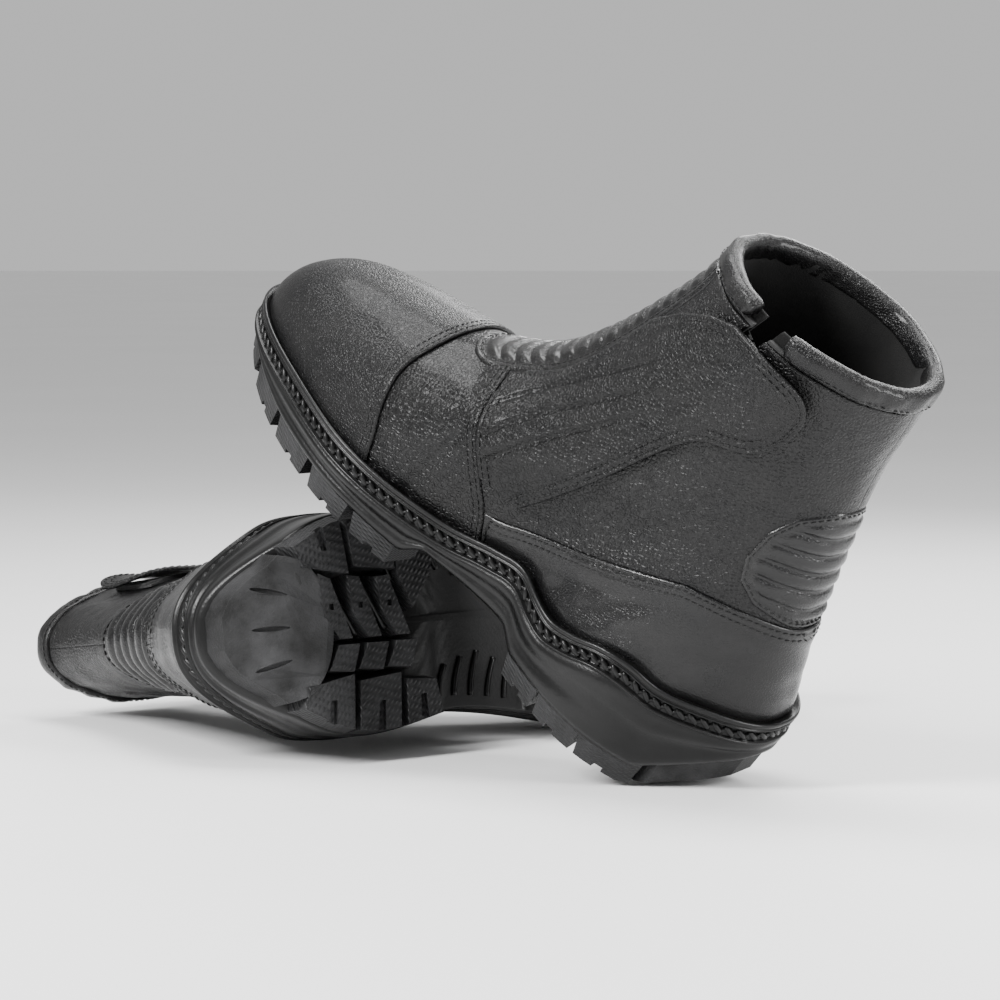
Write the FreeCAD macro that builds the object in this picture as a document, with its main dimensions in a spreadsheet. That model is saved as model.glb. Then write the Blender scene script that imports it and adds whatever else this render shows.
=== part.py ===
import FreeCAD, Part
import math
import os
import Sketcher
from FreeCAD import Placement, Rotation, Vector

# A pair of pull-on fire boots. The right boot lies on its inner side and the left boot leans on
# it, standing on the bevelled back of its heel.
#
# Each boot is drawn in its own frame: X runs from the back of the heel to the toe, Y is positive
# towards the outer (lateral) side and Z is up from the tread. The right boot is the mirror image.

# Driving sizes: name, millimetres or degrees, meaning.
SIZES = [
    ("sole_length", 303.0, "outsole, back of heel to toe"),
    ("heel_width", 90.0, "outsole across the heel"),
    ("ball_width", 105.0, "outsole across the ball of the foot"),
    ("boot_height", 205.0, "tread to the top of the shaft"),
    ("shaft_depth", 98.0, "shaft, back to front, at the top"),
    ("lug_depth", 8.0, "height of the tread lugs"),
    ("waist_lift", 18.0, "underside of the waist above the ground"),
    ("toe_spring", 13.0, "tread at the toe above the ground"),
    ("heel_bevel", 38.5, "angle of the bevel at the back of the heel, degrees"),
    ("heel_bevel_length", 30.0, "bevel at the back of the heel, along the tread"),
    ("heel_length", 97.0, "heel, back to breast"),
    ("forefoot_start", 166.0, "back of the forefoot tread"),
    ("rim_step", 4.5, "sole rim beyond the upper"),
    ("fit_gap", 0.15, "clearance between neighbouring layers"),
    ("leather", 2.2, "upper leather"),
    ("interlining", 1.9, "foam interlining, toe cap and heel counter"),
    ("lining", 1.4, "inner lining"),
    ("overlay", 1.5, "toe overlay leather"),
    ("pad_rise", 1.3, "padded panels beyond the leather"),
    ("binding", 8.0, "rolled collar binding, height"),
    ("binding_rise", 1.2, "collar binding beyond the leather"),
    ("pad_half_width", 22.0, "half width of the ribbed instep pad"),
    ("toe_cap_length", 48.0, "steel toe cap, front to back"),
    ("counter_height", 92.0, "top of the heel counter above the tread"),
    ("steel_midsole", 0.8, "penetration resisting steel sheet"),
    ("board", 2.5, "insole board"),
    ("footbed", 4.0, "removable footbed"),
    ("shank_length", 104.0, "steel shank"),
    ("shank_width", 15.0, "steel shank"),
    ("shank_thick", 1.6, "steel shank"),
    ("flap_leather", 2.0, "closure flap leather"),
    ("flap_gap", 2.2, "room under the closure flap"),
    ("patch", 0.9, "touch fastener patches, each half"),
    ("patch_length", 30.0, "touch fastener patches"),
    ("patch_width", 22.0, "touch fastener patches"),
    ("zip_length", 104.0, "zip, top to bottom"),
    ("zip_set_back", 38.0, "zip behind the front of the shaft, at its top"),
    ("zip_drop", 16.0, "zip below the top of the shaft"),
    ("zip_lean", 22.0, "zip leaning back from its lower end, degrees"),
    ("collar_split", 20.0, "opening in the collar binding over the zip"),
    ("tape_depth", 4.6, "underside of the zip tapes below the leather's face"),
    ("zip_slot", 9.0, "opening in the leather over the zip"),
    ("tape_width", 8.0, "each zip tape"),
    ("tape_thick", 0.6, "zip tape"),
    ("coil_width", 2.0, "each row of zip coil"),
    ("coil_thick", 1.2, "zip coil"),
    ("coil_gap", 1.2, "between the two rows of coil"),
    ("slider_length", 9.0, "zip slider"),
    ("slider_width", 6.4, "zip slider"),
    ("slider_plate", 0.6, "upper and lower plates of the slider"),
    ("slider_play", 0.25, "slider clearance over the coils"),
    ("pull_length", 14.0, "zip pull"),
    ("pull_width", 4.0, "zip pull"),
    ("pull_thick", 0.6, "zip pull"),
    ("left_collar_width", 80.0, "open collar of the left boot, across"),
    ("right_collar_width", 52.0, "pressed collar of the lying right boot, across"),
    ("lean_heading", 33.0, "left boot: toe swung away from the front, degrees"),
    ("lean_roll", 9.0, "left boot: sole rolled towards the front, degrees"),
    ("lie_heading", 38.0, "right boot: toe swung away from the front, degrees"),
    ("lie_tilt", 7.6, "right boot: collar dropped to the ground, degrees"),
    ("heel_gap_y", -18.0, "between the two heels, along Y"),
    ("rest_gap", 0.4, "air left where the left boot rests on the right one"),
]

doc = FreeCAD.newDocument("fire_boots")
sheet = doc.addObject("Spreadsheet::Sheet", "sizes")
for row, (alias, value, meaning) in enumerate(SIZES, start=1):
    sheet.set("A%d" % row, alias)
    sheet.set("B%d" % row, str(value))
    sheet.set("C%d" % row, meaning)
    sheet.setAlias("B%d" % row, alias)
doc.recompute()


def size(alias):
    """The value of one driving size."""
    return float(sheet.get(alias))


# ---------------------------------------------------------------------------------------------
# The form of the upper: level sections from the sole to the collar.

LAST_LENGTH = 303.0     # the proportions below are for this sole length, height and width
LAST_HEIGHT = 205.0
LAST_WIDTHS = (90.0, 105.0)     # heel and ball

# Each row: front point x, z; back point x, z; half widths at the back, heel, waist, ball and toe.
LEVELS = [
    (297, 19, 5, 34, 46, 53, 36, 50, 46),
    (300, 28, 3, 44, 47, 54, 37, 51, 47),
    (299, 38, 2, 53, 46, 53, 37, 50, 47),
    (292, 50, 3, 61, 44, 51, 37, 49, 46),
    (279, 60, 5, 68, 42, 49, 37, 47, 43),
    (258, 69, 7, 76, 40, 46, 37, 45, 38),
    (232, 76, 10, 85, 37, 43, 37, 44, 34),
    (207, 84, 13, 96, 35, 41, 37, 43, 32),
    (186, 96, 16, 110, 33, 39, 38, 41, 31),
    (167, 112, 19, 127, 31, 37, 38, 39, 31),
    (151, 135, 22, 146, 31, 36, 38, 38, 32),
    (138, 160, 24, 167, 31, 36, 39, 38, 33),
    (127, 185, 24, 188, 32, 37, 40, 39, 34),
    (122, 205, 24, 206, 33, 38, 41, 40, 35),
]
WIDTH_PLACES = (0.0, 0.15, 0.40, 0.72, 1.0)     # where along a level the half widths are given
ROUND_POINTS = 26       # points round each level
SQUARENESS = 0.8        # below 1 makes the ends of a level blunter than an ellipse
TOE_SWING = 7.0         # the toe lies this far to the inner side
SWING_START = 0.5       # share of the length where the swing begins
SHAFT_START = 5         # the level where the foot turns into the shaft
BALL_PLACE = 0.6        # share of a level where the ball's width is reached
LEVEL_SPARE = 12.0      # the form runs on past its first and last level before it is trimmed
TOP = len(LEVELS) - 1


def smooth(value):
    """A step from 0 to 1 with level ends."""
    value = min(1.0, max(0.0, value))
    return value * value * (3.0 - 2.0 * value)


def between(places, values, place):
    """A smooth line through a few values."""
    for index in range(len(places) - 1):
        if place <= places[index + 1]:
            share = (place - places[index]) / (places[index + 1] - places[index])
            return values[index] + (values[index + 1] - values[index]) * smooth(share)
    return values[-1]


class Form:
    """The shape of one boot's upper, at any distance inside or outside its leather face."""

    def __init__(self, side, collar_width):
        self.side = side
        self.along = size("sole_length") / LAST_LENGTH
        self.tall = size("boot_height") / LAST_HEIGHT
        self.heel = size("heel_width") / LAST_WIDTHS[0]
        self.ball = size("ball_width") / LAST_WIDTHS[1]
        self.collar = collar_width / 2.0
        self.solids = {}

    def profile(self, level, front):
        """A point of the front or back line in the boot's middle plane."""
        row = LEVELS[level]
        rise = smooth((level - SHAFT_START) / (TOP - SHAFT_START))
        x, z = (row[0], row[1]) if front else (row[2], row[3])
        x *= self.along
        if front:
            top_x = LEVELS[TOP][2] * self.along + size("shaft_depth")
            x += (top_x - LEVELS[TOP][0] * self.along) * rise
        return x, z * self.tall

    def moved(self, level, front, distance):
        """The same point moved square to the line, level at the two ends of the line."""
        x, z = self.profile(level, front)
        outwards = 1.0 if front else -1.0
        if level in (0, TOP):
            return x + outwards * distance, z
        low_x, low_z = self.profile(level - 1, front)
        high_x, high_z = self.profile(level + 1, front)
        run = math.hypot(high_x - low_x, high_z - low_z)
        normal_x = (high_z - low_z) / run
        normal_z = -(high_x - low_x) / run
        return x + outwards * distance * normal_x, z + outwards * distance * normal_z

    def half_width(self, level, place):
        """Half the width of a level, before it is rounded at its ends."""
        widen = self.heel + (self.ball - self.heel) * smooth(place / BALL_PLACE)
        foot = between(WIDTH_PLACES, LEVELS[level][4:], place) * widen
        shaft = foot * self.collar / (max(LEVELS[TOP][4:]) * widen)
        return foot + (shaft - foot) * smooth((level - SHAFT_START) / (TOP - SHAFT_START))

    def wire(self, level, distance, rise=0.0):
        """The closed outline of one level, raised by rise."""
        front_x, front_z = self.moved(level, True, distance)
        back_x, back_z = self.moved(level, False, distance)
        points = []
        for index in range(ROUND_POINTS):
            angle = 2.0 * math.pi * index / ROUND_POINTS
            place = (1.0 - math.cos(angle)) / 2.0
            x = back_x + (front_x - back_x) * place
            z = back_z + (front_z - back_z) * place
            ends = abs(math.sin(angle)) ** SQUARENESS
            y = math.copysign(ends * (self.half_width(level, place) + distance), math.sin(angle))
            y -= self.swing(x)
            points.append(Vector(x, self.side * y, z + rise))
        curve = Part.BSplineCurve()
        steps = [float(index) for index in range(ROUND_POINTS + 1)]
        curve.interpolate(Points=points, PeriodicFlag=True, Parameters=steps)
        return Part.Wire([curve.toShape()])

    def swing(self, x):
        """How far the middle of the foot lies to the inner side."""
        share = x / (LAST_LENGTH * self.along)
        return TOE_SWING * self.ball * smooth((share - SWING_START) / (1.0 - SWING_START))

    def solid(self, distance):
        """The whole form, filled, at a distance from the leather's outer face."""
        key = round(distance, 4)
        if key not in self.solids:
            wires = [self.wire(level, distance) for level in range(len(LEVELS))]
            wires.insert(0, self.wire(0, distance, -LEVEL_SPARE))
            wires.append(self.wire(TOP, distance, LEVEL_SPARE))
            self.solids[key] = Part.makeLoft(wires, True, False, False)
        return self.solids[key]

    def slab(self):
        """Everything between the floor inside the sole and the top of the shaft."""
        reach = 2.0 * size("sole_length")
        corners = []
        for level, ends in ((0, (-reach, reach)), (TOP, (reach, -reach))):
            front_x, front_z = self.profile(level, True)
            back_x, back_z = self.profile(level, False)
            slope = (front_z - back_z) / (front_x - back_x)
            corners += [Vector(x, -reach, back_z + slope * (x - back_x)) for x in ends]
        face = Part.Face(Part.makePolygon(corners + corners[:1]))
        return face.extrude(Vector(0, 2.0 * reach, 0))

    def layer(self, inner, outer):
        """The skin between two distances."""
        return self.solid(outer).cut(self.solid(inner)).common(self.slab())

    def hollow(self, inner, outer, above):
        """The skin between two distances, its top trimmed off before it is hollowed."""
        return self.solid(outer).common(self.slab()).cut(above).cut(self.solid(inner))

    def surface_y(self, x, z, distance):
        """Where a face of the outer side lies, at a place in side view."""
        ray = Part.makeLine(Vector(x, 0, z), Vector(x, self.side * 2.0 * size("ball_width"), z))
        inside = self.solid(distance).common(ray)
        return max((vertex.Y for vertex in inside.Vertexes), key=abs)


# Distances of the layers from the leather's outer face, outwards positive.
GAP = size("fit_gap")
LEATHER_IN = -size("leather")
MIDDLE_OUT = LEATHER_IN - GAP
MIDDLE_IN = MIDDLE_OUT - size("interlining")
LINING_OUT = MIDDLE_IN - GAP
LINING_IN = LINING_OUT - size("lining")
FLAP_IN = size("flap_gap")
FLAP_OUT = FLAP_IN + size("flap_leather")
FAR = 2.0 * size("sole_length")     # longer than anything in the boot

# ---------------------------------------------------------------------------------------------
# Outlines in side view, X and Z for the last's own size. Panels meet along these lines.

VAMP_SEAM = [(128, 0), (140, 47), (150, 60), (161, 76), (172, 92), (184, 112), (330, 112)]
ANKLE_SEAM = [(136, 50), (124, 56), (98, 67), (66, 83), (43, 94)]
HEEL_PAD = [(-30, 94), (43, 94), (35, 149), (-30, 157)]
TOE_SEAM = [(192, 0), (198, 37), (206, 58), (210, 72), (206, 95), (330, 95)]
FLAP_EDGE = [(171, 96), (160, 77), (148, 60), (139, 50), (120, 77), (102, 105), (92, 124), (83, 139),
             (76, 147), (66, 152), (56, 158), (49, 169), (47, 182), (52, 191), (62, 194), (104, 194)]
COUNTER = [(-30, 0), (84, 0), (70, 50), (48, 92), (-30, 92)]
# Middle line of the chain band round the sole's wall, toe to heel.
CHAIN_LINE = [(310, 25), (280, 25), (250, 26.5), (210, 27), (170, 29), (146, 32), (128, 37),
              (112, 40), (100, 36), (90, 34.5), (78, 38), (62, 45), (49, 47), (35, 45), (15, 47),
              (-10, 50)]
RIM_ABOVE_CHAIN = 5.0
WAIST_EASE = 12.0       # the underside rises and falls over this length
TOE_LINE_START = 0.80   # share of the length where the tread starts to rise to the toe


class Outline:
    """Flat outlines in side view and the prisms cut across the boot from them."""

    def __init__(self, form):
        self.form = form

    def points(self, places):
        """Side view places as points, scaled to the size of the boot."""
        return [Vector(x * self.form.along, 0, z * self.form.tall) for x, z in places]

    def prism(self, places, half=False):
        """A prism right across the boot, or across its outer half only."""
        face = Part.Face(Part.makePolygon(self.points(places + places[:1])))
        if half:
            return face.extrude(Vector(0, self.form.side * FAR, 0))
        return face.translated(Vector(0, -FAR, 0)).extrude(Vector(0, 2.0 * FAR, 0))

    def below(self, line):
        """Everything under a line that runs from front to back."""
        return self.prism(line + [(-60, line[-1][1]), (-60, -40), (line[0][0], -40)])


def level_cut(form, drop):
    """Everything above the top of the shaft, lowered by drop."""
    front_x, front_z = form.profile(TOP, True)
    back_x, back_z = form.profile(TOP, False)
    slope = (front_z - back_z) / (front_x - back_x)
    corners = [Vector(x, -FAR, back_z + slope * (x - back_x) - drop) for x in (-FAR, FAR)]
    rise = Vector(0, 0, FAR)
    path = Part.makePolygon([corners[0], corners[1], corners[1] + rise, corners[0] + rise, corners[0]])
    return Part.Face(path).extrude(Vector(0, 2.0 * FAR, 0))


# ---------------------------------------------------------------------------------------------
# Document objects.

NODES = {}      # node name: (document object, boot, place in the boot's frame)


def feature(name, shape):
    """A document object that holds a shape."""
    item = doc.addObject("Part::Feature", name)
    item.Shape = shape
    return item


def boolean(kind, name, base, tools):
    """A cut, or a fuse or common of several objects."""
    if kind == "Part::Cut":
        item = doc.addObject(kind, name)
        item.Base = base
        several = len(tools) > 1
        item.Tool = boolean("Part::MultiFuse", name + "_tools", None, tools) if several else tools[0]
        return item
    item = doc.addObject(kind, name)
    item.Shapes = ([base] if base else []) + tools
    return item


def bound_box(name, corner, **sizes):
    """A box whose sizes are bound to the sheet and whose lowest corner is given."""
    item = doc.addObject("Part::Box", name)
    for key, formula in sizes.items():
        item.setExpression(key, formula)
    item.Placement = Placement(corner, Rotation())
    return item


def extruded(name, face, direction, formula):
    """A prism on a face, its length bound to the sheet."""
    base = feature(name + "_face", face)
    item = doc.addObject("Part::Extrusion", name)
    item.Base = base
    item.DirMode = "Custom"
    item.Dir = direction
    item.Solid = True
    item.setExpression("LengthFwd", formula)
    return item


def node(name, item, boot, place=None):
    """Names a finished sub-part and keeps its place in the boot."""
    item.Label = boot + "_" + name
    NODES[boot + "_" + name] = (item, boot, place or Placement())
    return item


# ---------------------------------------------------------------------------------------------
# The sole.

HEEL_LUGS = (35.0, 60.0, 87.0)          # centres along the boot
FORE_LUGS = (177.0, 205.0, 235.0, 264.0)
GROOVE = 7.0            # between two lugs
LUG_INNER = 23.0        # side lugs reach in to this far from the middle
RAIL_GROOVE = 4.0       # lengthwise groove between side lugs and the middle blocks
MIDDLE_GROOVE = 4.5     # across the middle blocks


def underside(form):
    """The line under the sole from heel to toe, as points."""
    heel = size("heel_length")
    fore = size("forefoot_start")
    rise = size("waist_lift")
    bevel = math.radians(size("heel_bevel"))
    back = size("heel_bevel_length")
    toe = form.along * LAST_LENGTH
    spring_from = toe * TOE_LINE_START
    points = [(-12.0, (back + 12.0) * math.tan(bevel)), (back, 0.0), (heel, 0.0)]
    points += [(heel + WAIST_EASE / 3.0, rise * 0.8), (heel + 2.0 * WAIST_EASE, rise)]
    points += [(fore - 1.5 * WAIST_EASE, rise), (fore - WAIST_EASE / 3.0, rise * 0.6), (fore, 0.0)]
    for share in (0.0, 0.25, 0.5, 0.75, 1.0):
        x = spring_from + (toe + 12.0 - spring_from) * share
        points.append((x, size("toe_spring") * ((x - spring_from) / (toe - spring_from)) ** 2))
    return [Vector(x, 0, z) for x, z in points]


def sole_profile(form, outline):
    """The sole in side view, between the tread and the top of the rim."""
    low = underside(form)
    rim = [(x, z + RIM_ABOVE_CHAIN) for x, z in CHAIN_LINE]
    top = Part.BSplineCurve()
    top.interpolate(outline.points(rim))
    curve = top.toShape()
    ends = [curve.valueAt(curve.FirstParameter), curve.valueAt(curve.LastParameter)]
    edges = [Part.makePolygon([ends[1]] + low + [ends[0]]), curve]
    return Part.Face(Part.Wire([edge for part in edges for edge in part.Edges]))


def tread_grooves(form, boot):
    """Boxes between the lugs, each as deep as the lugs are high."""
    boxes = []
    edge = size("ball_width")

    def groove(x, y, length, width):
        corner = Vector(x, y if form.side > 0 else -y - width, -size("lug_depth"))
        item = bound_box("%s_groove_%d" % (boot, len(boxes)), corner, Height="sizes.boot_height")
        item.Length = length
        item.Width = width
        boxes.append(item)

    for lugs in (HEEL_LUGS, FORE_LUGS):
        for first, second in zip(lugs[:-1], lugs[1:]):
            middle = (first + second) / 2.0 * form.along - GROOVE / 2.0
            groove(middle, LUG_INNER, GROOVE, edge)
            groove(middle, -LUG_INNER - edge, GROOVE, edge)
            groove(middle + GROOVE / 2.0, -LUG_INNER, MIDDLE_GROOVE, 2.0 * LUG_INNER)
    toe_groove = (FORE_LUGS[-1] + 13.0) * form.along
    groove(toe_groove, LUG_INNER / 2.0, MIDDLE_GROOVE, edge)
    groove(toe_groove, -LUG_INNER / 2.0 - edge, MIDDLE_GROOVE, edge)
    for start, end in ((size("heel_bevel_length"), size("heel_length") + WAIST_EASE / 3.0),
                       (size("forefoot_start") - WAIST_EASE / 3.0, toe_groove)):
        for side in (-1.0, 1.0):
            groove(start, side * LUG_INNER - RAIL_GROOVE / 2.0, end - start, RAIL_GROOVE)
    return boxes


def build_sole(form, outline, boot):
    """One moulded rubber outsole: rim, walls, floor and lugs."""
    around = form.wire(1, size("rim_step")).discretize(Number=49)[:-1]
    flat = [Vector(point.x, point.y, 0) for point in around]
    curve = Part.BSplineCurve()
    curve.interpolate(Points=flat, PeriodicFlag=True)
    plan = Part.Face(Part.Wire([curve.toShape()]))
    block = extruded(boot + "_sole_plan", plan, Vector(0, 0, 1), "sizes.boot_height")
    side_face = sole_profile(form, outline).translated(Vector(0, -size("sole_length"), 0))
    sides = extruded(boot + "_sole_side", side_face, Vector(0, 1, 0), "2 * sizes.sole_length")
    blank = boolean("Part::MultiCommon", boot + "_sole_blank", block, [sides])
    low = underside(form)
    high = [point + Vector(0, 0, size("lug_depth")) for point in underside(form)]
    band_face = Part.Face(Part.makePolygon(low + high[::-1] + low[:1]))
    band_face.translate(Vector(0, -size("sole_length"), 0))
    band = extruded(boot + "_tread_band", band_face, Vector(0, 1, 0), "2 * sizes.sole_length")
    boxes = boolean("Part::MultiFuse", boot + "_groove_boxes", None, tread_grooves(form, boot))
    grooves = boolean("Part::MultiCommon", boot + "_grooves", band, [boxes])
    foot = feature(boot + "_foot_space", form.solid(GAP).common(form.slab()))
    seat = shank_box(form, boot)
    return blank, boolean("Part::Cut", boot + "_outsole_cut", blank, [grooves, foot, seat])


def floor_frame(form):
    """The place of the floor inside the sole: origin at its back, X forward, Z up."""
    front_x, front_z = form.profile(0, True)
    back_x, back_z = form.profile(0, False)
    forward = Vector(front_x - back_x, 0, front_z - back_z)
    return Placement(Vector(back_x, 0, back_z), Rotation(Vector(1, 0, 0), forward))


SHANK_START = 78.0      # from the back of the sole's floor


def shank_box(form, boot):
    """The seat of the shank in the sole's floor."""
    item = doc.addObject("Part::Box", boot + "_shank_seat")
    item.setExpression("Length", "sizes.shank_length + 2 * sizes.fit_gap")
    item.setExpression("Width", "sizes.shank_width + 2 * sizes.fit_gap")
    item.setExpression("Height", "2 * (sizes.shank_thick + sizes.fit_gap)")
    depth = size("shank_thick") + GAP
    corner = Vector(SHANK_START - GAP, -size("shank_width") / 2.0 - GAP, -depth)
    item.Placement = floor_frame(form).multiply(Placement(corner, Rotation()))
    return item


def origin_plane(body, role):
    """One of a body's own origin planes."""
    return [item for item in body.Origin.OriginFeatures if item.Role == role][0]


def rectangle(sketch, corner, length_formula, width_formula):
    """A rectangle held by its lowest corner and bound to the sheet."""
    x, y = corner
    span, rise = 10.0, 5.0
    places = [(x, y), (x + span, y), (x + span, y + rise), (x, y + rise)]
    for index in range(4):
        start = Vector(places[index][0], places[index][1], 0)
        end = Vector(places[(index + 1) % 4][0], places[(index + 1) % 4][1], 0)
        sketch.addGeometry(Part.LineSegment(start, end), False)
    for index in range(4):
        sketch.addConstraint(Sketcher.Constraint("Coincident", index, 2, (index + 1) % 4, 1))
    for index, kind in enumerate(("Horizontal", "Vertical", "Horizontal", "Vertical")):
        sketch.addConstraint(Sketcher.Constraint(kind, index))
    sketch.addConstraint(Sketcher.Constraint("DistanceX", -1, 1, 0, 1, x))
    sketch.addConstraint(Sketcher.Constraint("DistanceY", -1, 1, 0, 1, y))
    length = sketch.addConstraint(Sketcher.Constraint("DistanceX", 0, 1, 0, 2, span))
    sketch.setExpression("Constraints[%d]" % length, length_formula)
    width = sketch.addConstraint(Sketcher.Constraint("DistanceY", 1, 1, 1, 2, rise))
    sketch.setExpression("Constraints[%d]" % width, width_formula)


def padded_body(name, corner, length_formula, width_formula, thick_formula):
    """A flat plate: a rectangle sketched on the XY plane and padded."""
    body = doc.addObject("PartDesign::Body", name)
    sketch = body.newObject("Sketcher::SketchObject", name + "_sketch")
    sketch.AttachmentSupport = [(origin_plane(body, "XY_Plane"), "")]
    sketch.MapMode = "FlatFace"
    rectangle(sketch, corner, length_formula, width_formula)
    pad = body.newObject("PartDesign::Pad", name + "_pad")
    pad.Profile = sketch
    pad.setExpression("Length", thick_formula)
    return body


# ---------------------------------------------------------------------------------------------
# The zip under the flap. Its own frame: origin at its top, X down along the zip, Z outwards.

COIL_END = 2.0          # the tapes run this far past the zip's travel
SLOT_LIFT = 40.0        # the slot in the leather runs on past the top of the shaft


def zip_frame(form):
    """The zip's place in the boot: straight, just inside the leather's face."""
    front_x, front_z = form.profile(TOP, True)
    lean = math.radians(size("zip_lean"))
    top_x = front_x - size("zip_set_back")
    top_z = front_z - size("zip_drop")
    low_x = top_x + size("zip_length") * math.sin(lean)
    low_z = top_z - size("zip_length") * math.cos(lean)
    top = Vector(top_x, form.surface_y(top_x, top_z, 0.0), top_z)
    low = Vector(low_x, form.surface_y(low_x, low_z, 0.0), low_z)
    down = (low - top).normalize()
    middle = (top + low) * 0.5
    step = 5.0
    back_y = form.surface_y(middle.x - step, middle.z, 0.0)
    front_y = form.surface_y(middle.x + step, middle.z, 0.0)
    across = Vector(2.0 * step, front_y - back_y, 0)
    outwards = down.cross(across)
    if outwards.y * form.side < 0:
        outwards = outwards.multiply(-1)
    outwards.normalize()
    turn = Rotation(down, Vector(), outwards, "XZY")
    return Placement(top - outwards * size("tape_depth"), turn)


def zip_box(name, corner, formulas):
    """A box in the zip's frame, its sizes bound to the sheet."""
    return bound_box(name, Vector(*corner), **dict(zip(("Length", "Width", "Height"), formulas)))


def zip_openings(form):
    """What the zip takes out of the layers: the slot, and the room for tapes and coils."""
    place = zip_frame(form)
    length = size("zip_length")
    slot = size("zip_slot")
    split = size("collar_split")
    wide = 2.0 * size("tape_width") + size("coil_gap") + 4.0 * GAP
    thick = size("tape_thick") + size("coil_thick") + 2.0 * GAP
    lift = SLOT_LIFT
    boxes = [
        Part.makeBox(length + lift, slot, 2.0 * lift, Vector(-lift, -slot / 2.0, -lift)),
        Part.makeBox(length + 5.0 * COIL_END, wide, thick, Vector(-2.0 * COIL_END, -wide / 2.0, -GAP)),
    ]
    collar_corner = Vector(-2.0 * lift + COIL_END, -split / 2.0, -lift)
    collar = Part.makeBox(2.0 * lift, split, 2.0 * lift, collar_corner)
    for box in boxes + [collar]:
        box.Placement = place
    return boxes[0].fuse(boxes[1]), collar


def build_zip(form, boot):
    """Tapes with their coils, the slider, its pull and the bottom stop."""
    place = zip_frame(form)
    half_gap = size("coil_gap") / 2.0
    tape_formulas = ("sizes.zip_length + %s" % (2.0 * COIL_END), "sizes.tape_width", "sizes.tape_thick")
    coil_formulas = (tape_formulas[0], "sizes.coil_width", "sizes.coil_thick")
    for name, sign in (("front", 1.0), ("rear", -1.0)):
        wall = half_gap if sign > 0 else -half_gap - size("tape_width")
        coil = half_gap if sign > 0 else -half_gap - size("coil_width")
        stem = "%s_zip_%s" % (boot, name)
        tape = zip_box(stem + "_tape", (-COIL_END, wall, 0), tape_formulas)
        row = zip_box(stem + "_coil", (-COIL_END, coil, size("tape_thick")), coil_formulas)
        node("zip_tape_" + name, boolean("Part::MultiFuse", stem, tape, [row]), boot, place)
    play = size("slider_play")
    low = -play - size("slider_plate")
    high = size("tape_thick") + size("coil_thick") + play
    plate = ("sizes.slider_length", "sizes.slider_width", "sizes.slider_plate")
    edge = -size("slider_width") / 2.0
    under = zip_box(boot + "_slider_under", (0, edge, low), plate)
    over = zip_box(boot + "_slider_over", (0, edge, high), plate)
    post_height = "sizes.tape_thick + sizes.coil_thick + 2 * sizes.slider_play + sizes.slider_plate"
    post = zip_box(boot + "_slider_post", (0, play - half_gap, low + size("slider_plate") / 2.0),
                   ("sizes.slider_length / 2", "sizes.coil_gap - 2 * sizes.slider_play", post_height))
    slider = boolean("Part::MultiFuse", boot + "_slider_parts", under, [over, post])
    node("zip_slider", slider, boot, place)
    corner = (size("slider_length") + GAP, -size("pull_width") / 2.0)
    pull = padded_body(boot + "_pull", corner, "sizes.pull_length", "sizes.pull_width", "sizes.pull_thick")
    lift = Placement(Vector(0, 0, high), Rotation())
    node("zip_pull", pull, boot, place.multiply(lift))
    stop_x = size("zip_length") + COIL_END + GAP
    stop_formulas = ("sizes.coil_width", "sizes.slider_width", "sizes.tape_thick")
    stop = zip_box(boot + "_stop", (stop_x, edge, 0), stop_formulas)
    node("zip_stop", stop, boot, place)


# ---------------------------------------------------------------------------------------------
# The upper.

PAD_TIP = 203.0         # front end of the instep pad
PAD_BACK = 95.0         # the strip is cut from the front wall only, ahead of here
PAD_FLOOR = 60.0
FLAP_CLEAR = 1.0        # between the flap and the instep pad


def instep_strip(form, grow):
    """The tongue shaped strip over the instep, seen from above, as an upright prism."""
    narrowing = math.sqrt(form.collar / (size("left_collar_width") / 2.0))
    half = size("pad_half_width") * form.ball * narrowing + grow
    tip = PAD_TIP * form.along + grow
    middle = -form.side * form.swing(tip)
    straight = tip - half
    start = Vector(PAD_BACK, -half, 0)
    corners = [Vector(straight, -half, 0), Vector(straight, half, 0), Vector(PAD_BACK, half, 0)]
    arc = Part.Arc(corners[0], Vector(tip, middle, 0), corners[1]).toShape()
    lines = [Part.makeLine(start, corners[0]), arc, Part.makeLine(corners[1], corners[2]),
             Part.makeLine(corners[2], start)]
    face = Part.Face(Part.Wire(lines))
    face.translate(Vector(0, 0, PAD_FLOOR * form.tall))
    return face.extrude(Vector(0, 0, FAR))


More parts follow.
